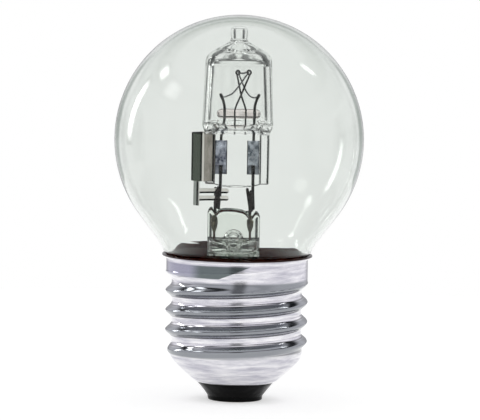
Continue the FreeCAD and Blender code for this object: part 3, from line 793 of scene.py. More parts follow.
@dataclass(frozen=True)
class StoneFinish(Finish):
    """A dull or glazed solid: cement or opaque glass, with grains and soft tone changes."""

    light: str
    dark: str
    patch: float
    grit: float
    grit_depth: float
    rough: float
    ior: float = 1.5
    gloss: float = 0.5

    def dress(self, tree: Tree, shader: Node, place: Socket) -> None:
        """Mix two tones in patches and bump the grit.

        Args:
            tree: The material's node tree.
            shader: Its Principled node.
            place: Object coordinates.
        """
        patches = speckle(tree, place, (self.patch, self.patch, self.patch), Detail=5.0, Roughness=0.6)
        grits = speckle(tree, place, (self.grit, self.grit, self.grit), Detail=3.0)
        tone = add_node(tree, "ShaderNodeMix", {
            0: patches, 6: linear(self.dark), 7: linear(self.light),
        }, data_type="RGBA")
        rough = add_node(tree, "ShaderNodeMapRange", (
            patches, 0.2, 0.8, self.rough * 0.8, min(1.0, self.rough * 1.25),
        ))
        self.skin(tree, shader, tone.outputs[2], grits, self.grit_depth)
        tree.links.new(rough.outputs["Result"], shader.inputs["Roughness"])
        shader.inputs["IOR"].default_value = self.ior
        shader.inputs["Specular IOR Level"].default_value = self.gloss


# Blown soda-lime glass: clear with a faint grey-green cast, darker where the eye looks along the wall.
BLOWN_GLASS = GlassFinish(
    "blown_soda_lime_glass", tint="f5f7f5", streak="f9faf9", ior=1.51, ripple=9.0, depth=0.012,
    absorbed="b4bfb7", density=0.17, glare=0.16,
)
# Pressed lead glass of the stem: a little greener and lumpier than the globe.
STEM_GLASS = GlassFinish(
    "pressed_stem_glass", tint="eef4ee", streak="f9faf8", ior=1.53, ripple=3.2, depth=0.02,
    absorbed="c3d2c6", density=0.05, glare=0.9, folds_below=29.9,
)
# Fused quartz: water-clear, with drawn ripples and hardly any tint.
QUARTZ = GlassFinish(
    "fused_quartz", tint="fafbfa", streak="ffffff", ior=1.46, ripple=2.4, depth=0.02, glare=0.7,
)
# Bead glass: softened round four wires, with a pink cast.
BEAD_GLASS = GlassFinish(
    "sintered_bead_glass", tint="f6e6e4", streak="f4efef", ior=1.5, ripple=1.2, depth=0.03,
    folds_below=52.9,
)
# Rolled aluminium of the cap: bright, with grey stains drawn out round the axis.
# The rolling rings are drawn coarser than real ones, so that they show.
ALUMINIUM = RolledFinish(
    "rolled_aluminium", bright="f6f5f7", stained="bdbcc7", stain=(6.0, 6.0, 0.7), shine=0.09,
    dull=0.18, line=(5.0, 5.0, 0.3), line_depth=0.007, sharp=0.18,
)
# Nickel-iron lead wire: dark brown from the sealing flame.
DARK_WIRE = MetalFinish(
    "flame_darkened_nickel_wire", bright="200f0c", stained="0b0504", stain=(0.8, 0.8, 0.8),
    shine=0.4, dull=0.6, line=(0.2, 0.2, 1.5), line_depth=0.01, metallic=0.05,
)
# Molybdenum wire: near black and half bright.
MOLY_WIRE = MetalFinish(
    "drawn_molybdenum_wire", bright="1c1a1b", stained="09090a", stain=(0.7, 0.7, 0.7), shine=0.35,
    dull=0.55, line=(0.2, 0.2, 1.5), line_depth=0.008, metallic=0.3,
)
# Copper-clad seal wire: olive brown where the oxide wets the glass.
SEAL_WIRE = MetalFinish(
    "oxidised_seal_wire", bright="80775a", stained="4e4a36", stain=(0.6, 0.6, 0.6), shine=0.35,
    dull=0.6, line=(0.2, 0.2, 1.0), line_depth=0.01, metallic=0.6,
)
# Copper tails under the stem, dull with oxide.
COPPER = MetalFinish(
    "dull_copper_wire", bright="5b3a2c", stained="33201a", stain=(0.8, 0.8, 0.8), shine=0.3,
    dull=0.5, line=(0.2, 0.2, 1.5), line_depth=0.008,
)
# Molybdenum foil: blue-grey, crumpled and mottled by the quartz pressed on it.
FOILS = {
    "left": FoilFinish(
        "etched_molybdenum_foil_left", bright="d2d7e6", stained="5a6076", stain=(0.8, 0.8, 1.0),
        shine=0.25, dull=0.5, line=(0.5, 0.5, 0.5), line_depth=0.04, sharp=0.13, middle=-3.3,
    ),
    "right": FoilFinish(
        "etched_molybdenum_foil_right", bright="d2d8e2", stained="59636f", stain=(0.8, 0.8, 1.0),
        shine=0.25, dull=0.5, line=(0.5, 0.5, 0.5), line_depth=0.04, sharp=0.13, middle=2.65,
    ),
}
# Tungsten: the coil is dull grey after its first light, the drawn posts and supports are near black.
TUNGSTEN = MetalFinish(
    "coiled_tungsten", bright="55555a", stained="333337", stain=(0.4, 0.4, 0.4), shine=0.35,
    dull=0.5, line=(0.05, 0.05, 0.05), line_depth=0.002,
)
TUNGSTEN_WIRE = MetalFinish(
    "drawn_tungsten_wire", bright="161618", stained="070708", stain=(0.5, 0.5, 0.5), shine=0.35,
    dull=0.5, line=(0.1, 0.1, 0.8), line_depth=0.005, metallic=0.3,
)
# Nickel-plated spring steel: grey with a warm cast and rolling lines along the strip.
SPRING = SpringFinish(
    "rolled_spring_steel", bright="b3aca6", stained="8b8780", stain=(0.9, 0.9, 2.2), shine=0.28,
    dull=0.42, line=(1.2, 1.2, 0.12), line_depth=0.006,
)
# Brass of the centre contact and its tin solder.
BRASS = MetalFinish(
    "stamped_brass", bright="d9b673", stained="a9853f", stain=(1.5, 1.5, 1.5), shine=0.25, dull=0.4,
    line=(0.6, 0.6, 0.6), line_depth=0.008,
)
SOLDER = MetalFinish(
    "set_tin_solder", bright="cfd0d2", stained="9fa1a6", stain=(0.8, 0.8, 0.8), shine=0.2, dull=0.45,
    line=(0.5, 0.5, 0.5), line_depth=0.02,
)
# Phenolic capping cement: dark brown, dull and gritty.
CEMENT = StoneFinish(
    "baked_capping_cement", light="6e2619", dark="36130c", patch=1.4, grit=0.35, grit_depth=0.06,
    rough=0.9, gloss=0.0,
)
# Black glass of the cap's foot: pressed hot, glossy, with slow waves.
BLACK_GLASS = StoneFinish(
    "pressed_black_glass", light="09090a", dark="030303", patch=2.5, grit=1.8, grit_depth=0.16,
    rough=0.09, ior=1.5, gloss=0.07,
)


# Pieces

def add_mesh(name: str, surface: Surface, material: Material) -> bpy.types.Object:
    """Put a surface into the scene.

    Args:
        name: The object's name.
        surface: Its points and faces, in millimetres.
        material: Its finish.

    Returns:
        The new object.
    """
    mesh = bpy.data.meshes.new(name)
    mesh.from_pydata((surface.points * MM).tolist(), [], surface.faces)
    mesh.materials.append(material)
    item = bpy.data.objects.new(name, mesh)
    bpy.context.scene.collection.objects.link(item)
    return item


def place_piece(name: str, surface: Surface, material: Material, node: str,
                crease: float = 38.0) -> None:
    """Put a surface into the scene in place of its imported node.

    Args:
        name: The piece's own name.
        surface: Its points and faces, in millimetres.
        material: Its finish.
        node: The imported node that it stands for.
        crease: Angle in degrees past which an edge stays sharp.
    """
    piece = add_mesh(name, surface, material)
    faces = piece.data.polygons
    faces.foreach_set("use_smooth", np.ones(len(faces), dtype=bool))
    piece.data.set_sharp_from_angle(angle=math.radians(crease))
    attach(piece, BODY)
    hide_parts(node)
    LOG.info("%s: %d faces, stands for %s", name, len(faces), node)


@dataclass
class OuterGlobe:
    """The blown envelope: ball, cone, bead over the cap's rim and neck."""

    radius: float = 22.85
    centre: float = 47.95
    cone: float = 37.5
    collar: float = 13.55
    collar_height: float = 27.6
    collar_bend: float = 0.65
    neck: float = 11.2
    neck_top: float = 23.4
    neck_foot: float = 17.4
    wall: float = 0.7
    row: float = 0.55
    columns: int = 224

    def outline(self) -> Array:
        """Half outline from the top pole down: ball, straight cone, flare, bead and neck.

        Returns:
            Array [point, (radius, height)].
        """
        slope = math.tan(math.radians(self.cone))
        ball = arc(0.0, self.centre, self.radius, 89.9, -self.cone, 96)
        flare_top = self.collar_height + 1.7
        on_cone = ball[-1, 0] - (ball[-1, 1] - flare_top) * slope
        flare = spline([
            (on_cone + slope, flare_top + 1.0),
            (on_cone, flare_top),
            (self.collar + 0.25, self.collar_height + 0.55),
            (self.collar, self.collar_height - 0.1),
        ], 6)
        bead = arc(self.collar - self.collar_bend, self.collar_height - 0.15, self.collar_bend,
                   -4.0, -66.0, 12)
        neck = spline([
            bead[-1],
            (self.neck + 1.25, self.neck_top + 2.95),
            (self.neck + 0.7, self.neck_top + 1.8),
            (self.neck, self.neck_top),
            (self.neck, self.neck_foot),
        ], 8)[1:]
        return np.vstack([ball, flare, bead, neck])

    def rows(self) -> Array:
        """The outline at even steps, as the wall's facets run."""
        return even(self.outline(), self.row)

    def build(self) -> None:
        """Turn the outline and its inset copy, joined by a fire-polished foot, into one closed wall."""
        outside = self.rows()
        inside = inset(outside, self.wall)
        foot = arc(self.neck - self.wall / 2.0, self.neck_foot, self.wall / 2.0, -15.0, -165.0, 6)
        loop = np.vstack([outside[1:], foot, inside[1:][::-1]])
        place_piece("blown_globe", lathe(loop, self.columns), BLOWN_GLASS.material(),
                    "outer_bulb", GLASS_CREASE)


@dataclass
class Stem:
    """The flared tube that closes the globe, its press with the blown hole, and the exhaust tube."""

    centre: float = -0.75
    radius: float = 4.82
    bore: float = 4.02
    rim_radius: float = 11.1
    rim_foot: float = 16.7
    flare_top: float = 20.6
    press_foot: float = 29.35
    press_face: float = 30.1
    press_top: float = 33.35
    crown: float = 1.05
    half_press: float = 1.7
    bore_top: float = 28.7
    roof: float = 0.3
    hole_height: float = 29.8
    hole_radius: float = 1.35
    exhaust: float = 1.7
    exhaust_bore: float = 1.0
    exhaust_tip: float = 13.2
    columns: int = 96

    def angles(self) -> Array:
        """Angles round the axis: even ones for the tube, and more where the press faces front and back.

        With t even from -1 to 1 the extra ones have the cosine t |t|, so the flat faces get even columns.

        Returns:
            The angles, in order.
        """
        even_ones = circle(self.columns)
        spread = np.linspace(-1.0, 1.0, 62)[1:-1]
        extra = np.arccos(spread * np.abs(spread))
        both = np.sort(np.concatenate([even_ones, extra, 2.0 * math.pi - extra]))
        return both[np.concatenate([np.diff(both) > 2e-3, [True]])]

    def outside(self) -> Array:
        """Grid of the outside from the rim up: rings that flatten into the press and close over its crown.

        Each ring is (a c, b s) with c and s the cosine and sine to the power p: 1 is round, less is boxy.
        The top rows rise in an arch between dips at the two leads and in a corner outside each of them,
        and a pit with a flat floor and a round lip is pushed in at the hole, shallower below the press.

        Returns:
            Array [row, column, xyz].
        """
        angle = self.angles()
        flare = spline([
            (self.rim_radius - 0.35, self.rim_foot), (self.rim_radius, self.rim_foot + 0.35),
            (self.rim_radius - 0.4, self.rim_foot + 0.9), (7.0, self.rim_foot + 2.2),
            (self.radius, self.flare_top + 0.6), (self.radius, self.press_foot - 1.9),
            (self.radius, self.press_foot - 0.4),
        ], 8)
        press = np.linspace(self.press_foot - 0.4, self.press_top, 40)[1:]
        wide = np.concatenate([flare[:, 0], np.full(len(press), self.radius)])
        height = np.concatenate([flare[:, 1], press])
        flat = smooth(height, self.press_foot, self.press_face)
        deep = wide * (1.0 - flat) + self.half_press * flat
        power = 1.0 - 0.5 * flat
        top = np.radians(np.linspace(0.0, 88.0, 10))[1:]
        wide = np.concatenate([wide, wide[-1] - 0.8 * (1.0 - np.cos(top))])
        deep = np.concatenate([deep, deep[-1] * np.cos(top)])
        height = np.concatenate([height, self.press_top + 0.9 * np.sin(top)])
        power = np.concatenate([power, np.full(len(top), 0.5)])
        across = wide[:, None] * boxy(np.cos(angle), power[:, None])
        through = deep[:, None] * boxy(np.sin(angle), power[:, None])
        rise = smooth(height, self.press_face, self.press_top + 0.8)[:, None]
        dips = np.exp(-((across + 3.3) / 0.62) ** 2) * 0.55 + np.exp(-((across - 3.0) / 0.7) ** 2) * 0.75
        corner = 0.75 * smooth(np.abs(across), 3.3, 4.2)
        arch = self.crown * (1.0 - (across / self.radius) ** 2)
        lift = height[:, None] + rise * (arch + corner - dips - 0.085 * across)
        away = np.hypot(across, lift - self.hole_height) / self.hole_radius
        pit = (0.8 + 0.5 * smooth(lift, 29.95, 30.2)) * (1.0 - smooth(away, 0.66, 1.0))
        pit = pit - 0.2 * np.exp(-((away - 1.14) / 0.1) ** 2)
        through = through - np.sign(through) * np.minimum(pit, 0.8 * np.abs(through))
        return np.stack([across + self.centre, through, lift], axis=-1)

    def inside(self) -> Array:
        """Grid of the bore from the rim up to its round roof.

        Returns:
            Array [row, column, xyz].
        """
        flare = spline([
            (self.rim_radius - 0.75, self.rim_foot - 0.02), (self.rim_radius - 1.2, self.rim_foot + 0.25),
            (6.2, self.rim_foot + 1.9), (self.bore, self.flare_top + 0.4),
            (self.bore, self.bore_top - self.bore * self.roof),
        ], 8)
        roof = np.radians(np.linspace(0.0, 88.0, 16))[1:]
        radius = np.concatenate([flare[:, 0], self.bore * np.cos(roof)])[:, None]
        height = np.concatenate([flare[:, 1], flare[-1, 1] + self.bore * self.roof * np.sin(roof)])[:, None]
        return rings(radius, height, self.angles(), self.centre)

    def exhaust_outline(self) -> Array:
        """Half outline of the sealed-off tube: pinched tip, straight wall, open top with its bore.

        Returns:
            Array [point, (radius, height)].
        """
        top = self.bore_top - 0.6
        outside = spline([
            (0.05, self.exhaust_tip), (0.5, self.exhaust_tip + 0.15), (1.35, self.exhaust_tip + 1.3),
            (self.exhaust, self.exhaust_tip + 2.6), (self.exhaust, 20.0), (self.exhaust, top),
        ], 8)
        inside = spline([
            (self.exhaust_bore, top), (self.exhaust_bore, 20.0),
            (self.exhaust_bore, self.exhaust_tip + 3.2), (0.6, self.exhaust_tip + 1.9),
            (0.04, self.exhaust_tip + 1.2),
        ], 8)
        return np.vstack([outside, inside])

    def build(self) -> None:
        """Join outside and bore at the rim into one closed wall, and add the exhaust tube."""
        wall = net(np.vstack([self.outside()[::-1], self.inside()]), foot=True, head=True).facing()
        glass = STEM_GLASS.material()
        place_piece("pressed_stem", wall, glass, "stem", GLASS_CREASE)
        tube = lathe(self.exhaust_outline(), 64, self.centre)
        place_piece("exhaust_pipe", tube, glass, "exhaust_tube", GLASS_CREASE)


@dataclass
class Leads:
    """Seal wires in the press, stiff leads above it and thin tails below."""

    left: float = -4.2
    right: float = 2.2
    lead_radius: float = 0.28
    seal_radius: float = 0.58
    tail_radius: float = 0.2
    seal_foot: float = 31.1
    seal_top: float = 34.2
    left_top: float = 38.9
    right_top: float = 38.8
    tail_turn: float = 19.9
    shell_weld: float = 15.6

    def seal(self, x: float) -> Surface:
        """A drop: the radius follows the square root of a sine, fuller near the top.

        Args:
            x: The wire's place.

        Returns:
            The seal wire.
        """
        share = np.linspace(0.0, 1.0, 40)
        radius = 0.16 + (self.seal_radius - 0.16) * np.sin(np.pi * share ** 1.25) ** 0.7
        height = self.seal_foot + (self.seal_top - self.seal_foot) * share
        path = np.stack([0.0 * share + x, 0.0 * share, height], axis=-1)
        return wire(path, radius, 20)

    def weld(self, foot: tuple[float, float], top: tuple[float, float], girth: tuple[float, float],
             seed: int, depth: float = 0.0) -> Surface:
        """A lump of weld flash: a short wire whose radius goes from girth to girth and wavers in sines.

        Args:
            foot: Place along x and height of its lower end.
            top: Place along x and height of its upper end.
            girth: Radius near its lower and its upper end.
            seed: Phase of the wavering.
            depth: Place along y.

        Returns:
            The lump.
        """
        share = np.linspace(0.0, 1.0, 44)
        swell = (girth[0] + (girth[1] - girth[0]) * share) * (0.35 + 0.65 * np.sin(np.pi * share) ** 0.35)
        waver = 1.0 + 0.09 * np.sin(21.0 * share + seed) + 0.06 * np.sin(37.0 * share + 2.0 * seed)
        path = np.stack([
            foot[0] + (top[0] - foot[0]) * share + 0.04 * np.sin(13.0 * share + seed),
            0.0 * share + depth,
            foot[1] + (top[1] - foot[1]) * share,
        ], axis=-1)
        return wire(path, swell * waver, 24)

    def build(self) -> None:
        """Make every lead and its weld to the capsule's pin."""
        dark, seal, copper = DARK_WIRE.material(), SEAL_WIRE.material(), COPPER.material()
        for side, x in (("left", self.left), ("right", self.right)):
            place_piece(f"drop_seal_{side}", self.seal(x), seal, f"seal_wire_{side}")
        left = even(bent([(self.left, 0.0, self.seal_top), (self.left, 0.0, self.left_top)], 0.3), 0.2)
        left_parts = [
            wire(left, self.lead_radius, 20),
            self.weld((self.left + 0.22, 35.4), (self.left + 0.45, 37.9), (0.45, 0.72), 1, -0.25),
            self.weld((self.left + 0.45, 37.4), (self.left + 0.55, 39.15), (0.74, 0.6), 4, -0.3),
        ]
        place_piece("stiff_lead_left", join(left_parts), dark, "stem_lead_left")
        right = even(bent([
            (self.right, 0.0, self.seal_top), (self.right, 0.0, self.seal_top + 1.1),
            (self.right - 0.55, 0.0, self.right_top),
        ], 0.5), 0.2)
        right_parts = [
            wire(right, self.lead_radius, 20),
            self.weld((self.right + 0.32, 34.8), (self.right + 0.05, 38.5), (0.36, 0.58), 2),
        ]
        place_piece("stiff_lead_right", join(right_parts), dark, "stem_lead_right")
        contact = even(bent([
            (self.left, 0.0, self.seal_foot), (self.left, 0.0, self.tail_turn), (-3.05, 0.0, 15.6),
            (-1.0, 0.0, 11.6), (0.0, 0.0, 6.8), (0.0, 0.0, 0.3),
        ], 1.2), 0.3)
        place_piece("tail_to_contact", wire(contact, self.tail_radius, 12), copper,
                    "tail_lead_contact")
        shell = even(bent([
            (self.right, 0.0, self.seal_foot), (self.right, 0.0, self.tail_turn),
            (4.0, 0.0, self.shell_weld), (11.6, 0.0, self.shell_weld),
        ], 1.2), 0.3)
        place_piece("tail_to_shell", wire(shell, self.tail_radius, 12), copper,
                    "tail_lead_shell")


@dataclass
class Capsule:
    """The quartz capsule: nipple, domed tube and flat pinch in one piece of glass, with its gas space."""

    centre: float = -0.3
    foot_radius: float = 6.5
    top_radius: float = 6.1
    foot_height: float = 51.2
    top_height: float = 62.5
    wall: float = 0.95
    nipple: float = 1.56
    nipple_top: float = 68.7
    half_width: float = 5.92
    half_rib: float = 1.8
    half_web: float = 0.95
    rib_from: float = 4.35
    pinch_top: float = 48.9
    pinch_foot: float = 39.7
    belly: float = 0.65
    dot_step: float = 0.62
    columns: int = 192

    def crown_outline(self) -> Array:
        """Half outline of nipple, waist, dome, shoulder and tube, from the top down.

        Returns:
            Array [point, (radius, height)].
        """
        return even(np.vstack([
            spline([
                (0.06, self.nipple_top), (0.9, self.nipple_top - 0.06), (1.42, self.nipple_top - 0.4),
                (self.nipple, self.nipple_top - 1.1), (1.5, self.nipple_top - 2.0),
                (1.72, self.nipple_top - 2.75), (2.6, self.nipple_top - 3.3),
                (3.9, self.nipple_top - 3.95), (4.95, self.nipple_top - 4.6),
                (5.75, self.nipple_top - 5.4), (6.06, self.nipple_top - 6.3),
            ], 8),
            np.array([(self.top_radius, self.top_height - 1.2), (self.foot_radius, self.foot_height)]),
        ]), 0.22)

    def outside(self) -> Array:
        """Grid of the outside: rings (a c, b s) whose depth falls by a quarter ellipse into the pinch.

        Below the tube the power of cosine and sine goes from 1 to one third, which squares the ring,
        and the depth between the ribs is thinned to the web. The last rows close the belly.

        Returns:
            Array [row, column, xyz].
        """
        crown = self.crown_outline()
        shoulder = np.linspace(0.0, 1.0, 30)[1:]
        pinch = np.linspace(0.0, 1.0, 44)[1:]
        close = np.radians(np.linspace(0.0, 86.0, 9))[1:]
        height = np.concatenate([
            crown[:, 1],
            self.foot_height + (self.pinch_top - self.foot_height) * shoulder,
            self.pinch_top + (self.pinch_foot + 0.5 - self.pinch_top) * pinch,
            self.pinch_foot + 0.5 - 0.5 * np.sin(close),
        ])
        drop = np.sqrt(np.maximum(0.0, 1.0 - shoulder ** 2))
        deep = np.concatenate([
            crown[:, 0],
            self.half_rib + (self.foot_radius - self.half_rib) * drop,
            np.full(len(pinch), self.half_rib),
            self.half_rib * (0.25 + 0.75 * np.cos(close)),
        ])
        wide = np.concatenate([
            crown[:, 0],
            self.half_width + (self.foot_radius - self.half_width) * (1.0 - smooth(shoulder, 0.25, 1.0)),
            np.full(len(pinch), self.half_width),
            self.half_width - 0.35 * (1.0 - np.cos(close)),
        ])
        squared = smooth(-height, -self.foot_height, -self.pinch_top)
        power = (1.0 - (2.0 / 3.0) * squared)[:, None]
        angle = circle(self.columns) + math.pi / self.columns
        across = wide[:, None] * boxy(np.cos(angle), power)
        through = deep[:, None] * boxy(np.sin(angle), power)
        web = self.half_web / self.half_rib
        thin = 1.0 - (1.0 - web) * (1.0 - smooth(np.abs(across), self.rib_from - 0.25, self.rib_from + 0.25))
        through = through * (1.0 - squared[:, None] + squared[:, None] * thin)
        dots = np.maximum(0.0, np.sin(height[:, None] * 2.0 * math.pi / self.dot_step))
        dots = dots * np.exp(-((np.abs(across) - 5.1) / 0.28) ** 2)
        ribbed = smooth(-height, -48.6, -48.2) * smooth(height, 40.3, 40.8)
        through = through * (1.0 + 0.055 * dots * ribbed[:, None])
        sag = smooth(-height, -(self.pinch_foot + 1.6), -self.pinch_foot)[:, None]
        lift = height[:, None] - sag * self.belly * np.maximum(0.0, 1.0 - (across / self.rib_from) ** 2)
        return np.stack([across + self.centre, through, lift], axis=-1)

    def gas_space(self) -> Surface:
        """The hollow: a turned outline inside the tube, drawn to a point under the nipple.

        Returns:
            The hollow, looking outwards.
        """
        bore_top, bore_foot = self.top_radius - self.wall, self.foot_radius - self.wall
        line = spline([
            (0.05, self.nipple_top - 2.3), (0.34, self.nipple_top - 2.6), (0.5, self.nipple_top - 3.2),
            (0.9, self.nipple_top - 3.9), (2.4, self.nipple_top - 4.7), (3.9, self.nipple_top - 5.35),
            (4.8, self.nipple_top - 6.1), (bore_top, self.nipple_top - 7.1),
            (bore_top + 0.02, self.nipple_top - 8.2), (bore_foot, 52.0), (bore_foot - 0.3, 51.1),
            (bore_foot - 1.2, 50.55), (2.5, 50.35), (0.05, 50.3),
        ], 10)
        return lathe(line, self.columns, self.centre)

    def build(self) -> None:
        """Join the outside and the gas space's wall, which looks into the gas."""
        outer = net(self.outside(), foot=True, head=True).facing()
        hollow = self.gas_space().facing(outward=False)
        place_piece("quartz_capsule", join([outer, hollow]), QUARTZ.material(),
                    "capsule", GLASS_CREASE)


@dataclass
class PinchInserts:
    """Foils pressed flat in the quartz, pins below them and posts above them."""

    foil_left: float = -3.3
    foil_right: float = 2.65
    foil_half: float = 1.15
    foil_foot: float = 41.6
    foil_top: float = 47.8
    foil_depth: float = -0.35
    pin_radius: float = 0.28
    post_radius: float = 0.25

    def foil(self, x: float, phase: float) -> Surface:
        """A lens-shaped strip: thickness follows 1 - u squared, and its face waves in two sines.

        Args:
            x: Middle of the foil.
            phase: Phase of the waves.

        Returns:
            The foil.
        """
        turn = circle(48)[None, :]
        u, side = np.cos(turn), np.sign(np.sin(turn + 1e-7))
        height = np.linspace(self.foil_foot, self.foil_top, 72)[:, None]
        wave = 0.006 * np.sin(height * 7.0 + phase + 2.0 * u) + 0.004 * np.sin(height * 17.0 - 5.0 * u)
        thick = 0.008 + 0.028 * (1.0 - u ** 2)
        grid = np.stack([
            x + self.foil_half * u + 0.0 * height,
            self.foil_depth + side * thick + wave,
            height + 0.0 * u,
        ], axis=-1)
        return net(grid, foot=True, head=True).facing()

    def post(self, foot: float, hand: float) -> Surface:
        """A post from the foil through the bead to its bent and flattened tip.

        Args:
            foot: Place on the foil.
            hand: -1 for the left post, 1 for the right one.

        Returns:
            The post.
        """
        path = even(bent([
            (foot, 0.0, 46.3), (foot, 0.0, 49.0), (2.72 * hand, 0.0, 51.3),
            (2.72 * hand, 0.0, 53.9), (3.05 * hand, 0.0, 55.2), (3.5 * hand, 0.0, 56.15),
        ], 1.1), 0.12)
        share = np.linspace(0.0, 1.0, len(path))
        radius = self.post_radius * (1.0 + 0.12 * smooth(share, 0.9, 0.97))
        return wire(path, radius, 20)

    def build(self) -> None:
        """Make the foils, pins and posts."""
        pin, post = MOLY_WIRE.material(), TUNGSTEN_WIRE.material()
        sides = (("left", self.foil_left, -3.6, -1.0), ("right", self.foil_right, 2.8, 1.0))
        for side, x, foot, hand in sides:
            place_piece(f"pressed_foil_{side}", self.foil(x, hand), FOILS[side].material(), f"foil_{side}")
            path = even(bent([(x, 0.0, 43.3), (x, 0.0, 38.6), (foot, 0.0, 35.3)], 1.2), 0.15)
            place_piece(f"moly_pin_{side}", wire(path, self.pin_radius, 20), pin, f"capsule_pin_{side}")
            place_piece(f"post_{side}", self.post(x, hand), post, f"filament_post_{side}")


@dataclass
class FilamentGroup:
    """Glass bead, crossed supports with their pig-tail hooks, and the coiled filament."""

    bead_radius: float = 0.93
    bead_half: float = 4.05
    bead_centre: float = -0.15
    bead_height: float = 52.65
    support_radius: float = 0.165
    hook_radius: float = 0.34
    coil_radius: float = 0.13
    coil_wire: float = 0.04
    coil_pitch: float = 0.12
    supports: tuple[tuple[str, float, float, float, float], ...] = (
        ("left", -0.86, 1.62, 60.3, -0.2),
        ("right", 1.12, -0.42, 60.2, 0.2),
    )

    def bead(self) -> Surface:
        """A rod along x whose radius rises from nothing at its ends as a squared-off half ring.

        Returns:
            The bead.
        """
        share = np.linspace(-1.0, 1.0, 90)
        radius = self.bead_radius * (1.0 - np.abs(share) ** 9) ** 0.5 + 0.01
        radius = radius * (1.0 + 0.015 * np.sin(share * 9.0))
        path = np.stack([
            self.bead_centre + self.bead_half * share, 0.0 * share, 0.0 * share + self.bead_height,
        ], axis=-1)
        return wire(path, radius, 40, rounded=False)

    def support(self, foot: float, hook: float, top: float, depth: float) -> Surface:
        """A thin wire that leans across the other one and ends in a pig-tail round the coil.

        The pig-tail is a helix about an axis along y: centre + radius (sin t, step t, -cos t).

        Args:
            foot: Place in the bead.
            hook: Place of the pig-tail's centre.
            top: Height of the pig-tail's centre.
            depth: Distance in front of (negative) or behind the middle plane at the crossing.

        Returns:
            The support.
        """
        hand = 1.0 if hook > foot else -1.0
        turn = np.radians(np.linspace(-60.0, 400.0, 50))
        tail = np.stack([
            hook + hand * self.hook_radius * np.cos(turn),
            depth + depth * 1.1 * (turn - turn[0]) / turn[-1],
            top + self.hook_radius * np.sin(turn),
        ], axis=-1)
        stalk = spline([
            (foot, 0.0, 49.4), (foot, 0.0, 51.6), (foot + 0.05 * hand, depth * 0.3, 53.6),
            (0.23, depth, 56.2), tail[0],
        ], 12)
        return wire(even(np.vstack([stalk[:-1], tail]), 0.08), self.support_radius, 14)

    def coil(self) -> Surface:
        """The filament: a fine helix whose axis is a smooth line from post to hooks to post.

        Its turns are coarser than real ones, so that they show.
        Axis point + radius (a cos t + b sin t), t growing by one turn each pitch.

        Returns:
            The coiled wire.
        """
        axis = even(spline([
            (-3.5, -0.02, 55.85), (-3.1, -0.2, 55.75), (-2.3, -0.35, 55.95), (-1.3, -0.42, 56.5),
            (-0.45, -0.45, 57.5), (0.5, -0.48, 58.85), (1.3, -0.45, 60.0), (1.55, -0.2, 60.42),
            (1.2, 0.0, 60.3), (0.5, 0.05, 60.12), (-0.1, 0.1, 60.2), (-0.4, 0.3, 60.32),
            (-0.15, 0.42, 59.7), (0.45, 0.42, 58.3), (1.0, 0.4, 57.1), (1.65, 0.3, 56.15),
            (2.35, 0.2, 55.72), (3.0, 0.1, 55.75), (3.5, 0.02, 55.95),
        ], 24), self.coil_pitch / 10.0)
        run = np.arange(len(axis)) * self.coil_pitch / 10.0
        turn = 2.0 * math.pi * run / self.coil_pitch
        way = unit(np.gradient(axis, axis=0))
        across = unit(np.cross(way, np.array([0.06, 1.0, 0.04])))
        other = np.cross(way, across)
        radial = across * np.cos(turn)[:, None] + other * np.sin(turn)[:, None]
        ends = np.minimum(1.0, np.minimum(run, run[-1] - run) / 0.5 + 0.35)
        path = axis + radial * (self.coil_radius * ends)[:, None]
        return wire(path, self.coil_wire, 5, radial, rounded=False)

    def build(self) -> None:
        """Make the bead, both supports and the coil."""
        support = TUNGSTEN_WIRE.material()
        place_piece("glass_bead", self.bead(), BEAD_GLASS.material(),
                    "filament_bead", GLASS_CREASE)
        for side, *places in self.supports:
            place_piece(f"crossed_support_{side}", self.support(*places), support,
                        f"filament_support_{side}")
        place_piece("coiled_filament", self.coil(), TUNGSTEN.material(), "filament", 180.0)


@dataclass
class SupportClip:
    """The folded spring strip on the capsule's left rib, with its tongue and two fingers."""

    thickness: float = 0.25
    foot: float = 40.3
    top: float = 49.2
    reach: float = 8.75
    rib_edge: float = 6.475
    rib_face: float = 1.925
    lip_end: float = 4.6
    tongue_foot: float = 35.8
    finger_end: float = -1.75
    finger_tops: tuple[float, ...] = (38.95, 37.6)
    finger_width: float = 0.9

    def build(self) -> None:
        """Fold the strip in plan: two lips, two oblique panels and a rounded nose; hang the tongue below."""
        fold = even(bent([
            (-self.lip_end, -self.rib_face), (-self.rib_edge, -self.rib_face), (-self.reach, 0.0),
            (-self.rib_edge, self.rib_face), (-self.lip_end, self.rib_face),
        ], 0.45), 0.09)
        spring = strip(fold, self.thickness, self.foot, self.top)
        slope = self.rib_face / (self.reach - self.rib_edge)
        outer, inner = 8.15, 7.23
        tongue_line = even(np.array([
            (-outer, -(self.reach - outer) * slope), (-inner, -(self.reach - inner) * slope),
        ]), 0.08)
        tongue = strip(tongue_line, self.thickness, self.tongue_foot, self.foot + 0.25)
        face = -0.405
        finger_line = even(bent([
            (-inner - 0.1, -(self.reach - inner - 0.1) * slope), (-5.2, face), (self.finger_end, face),
        ], 0.9), 0.06)
        half = self.finger_width / 2.0
        run = np.clip(1.0 + (finger_line[:, 0] - finger_line[-1, 0]) / half, 0.0, 1.0)
        taper = half * np.sqrt(np.maximum(0.02, 1.0 - run ** 2))
        fingers = [
            strip(finger_line, self.thickness, high - half - taper, high - half + taper, 0.05)
            for high in self.finger_tops
        ]
        place_piece("folded_spring_clip", join([spring, tongue] + fingers), SPRING.material(),
                    "support_clip", 30.0)


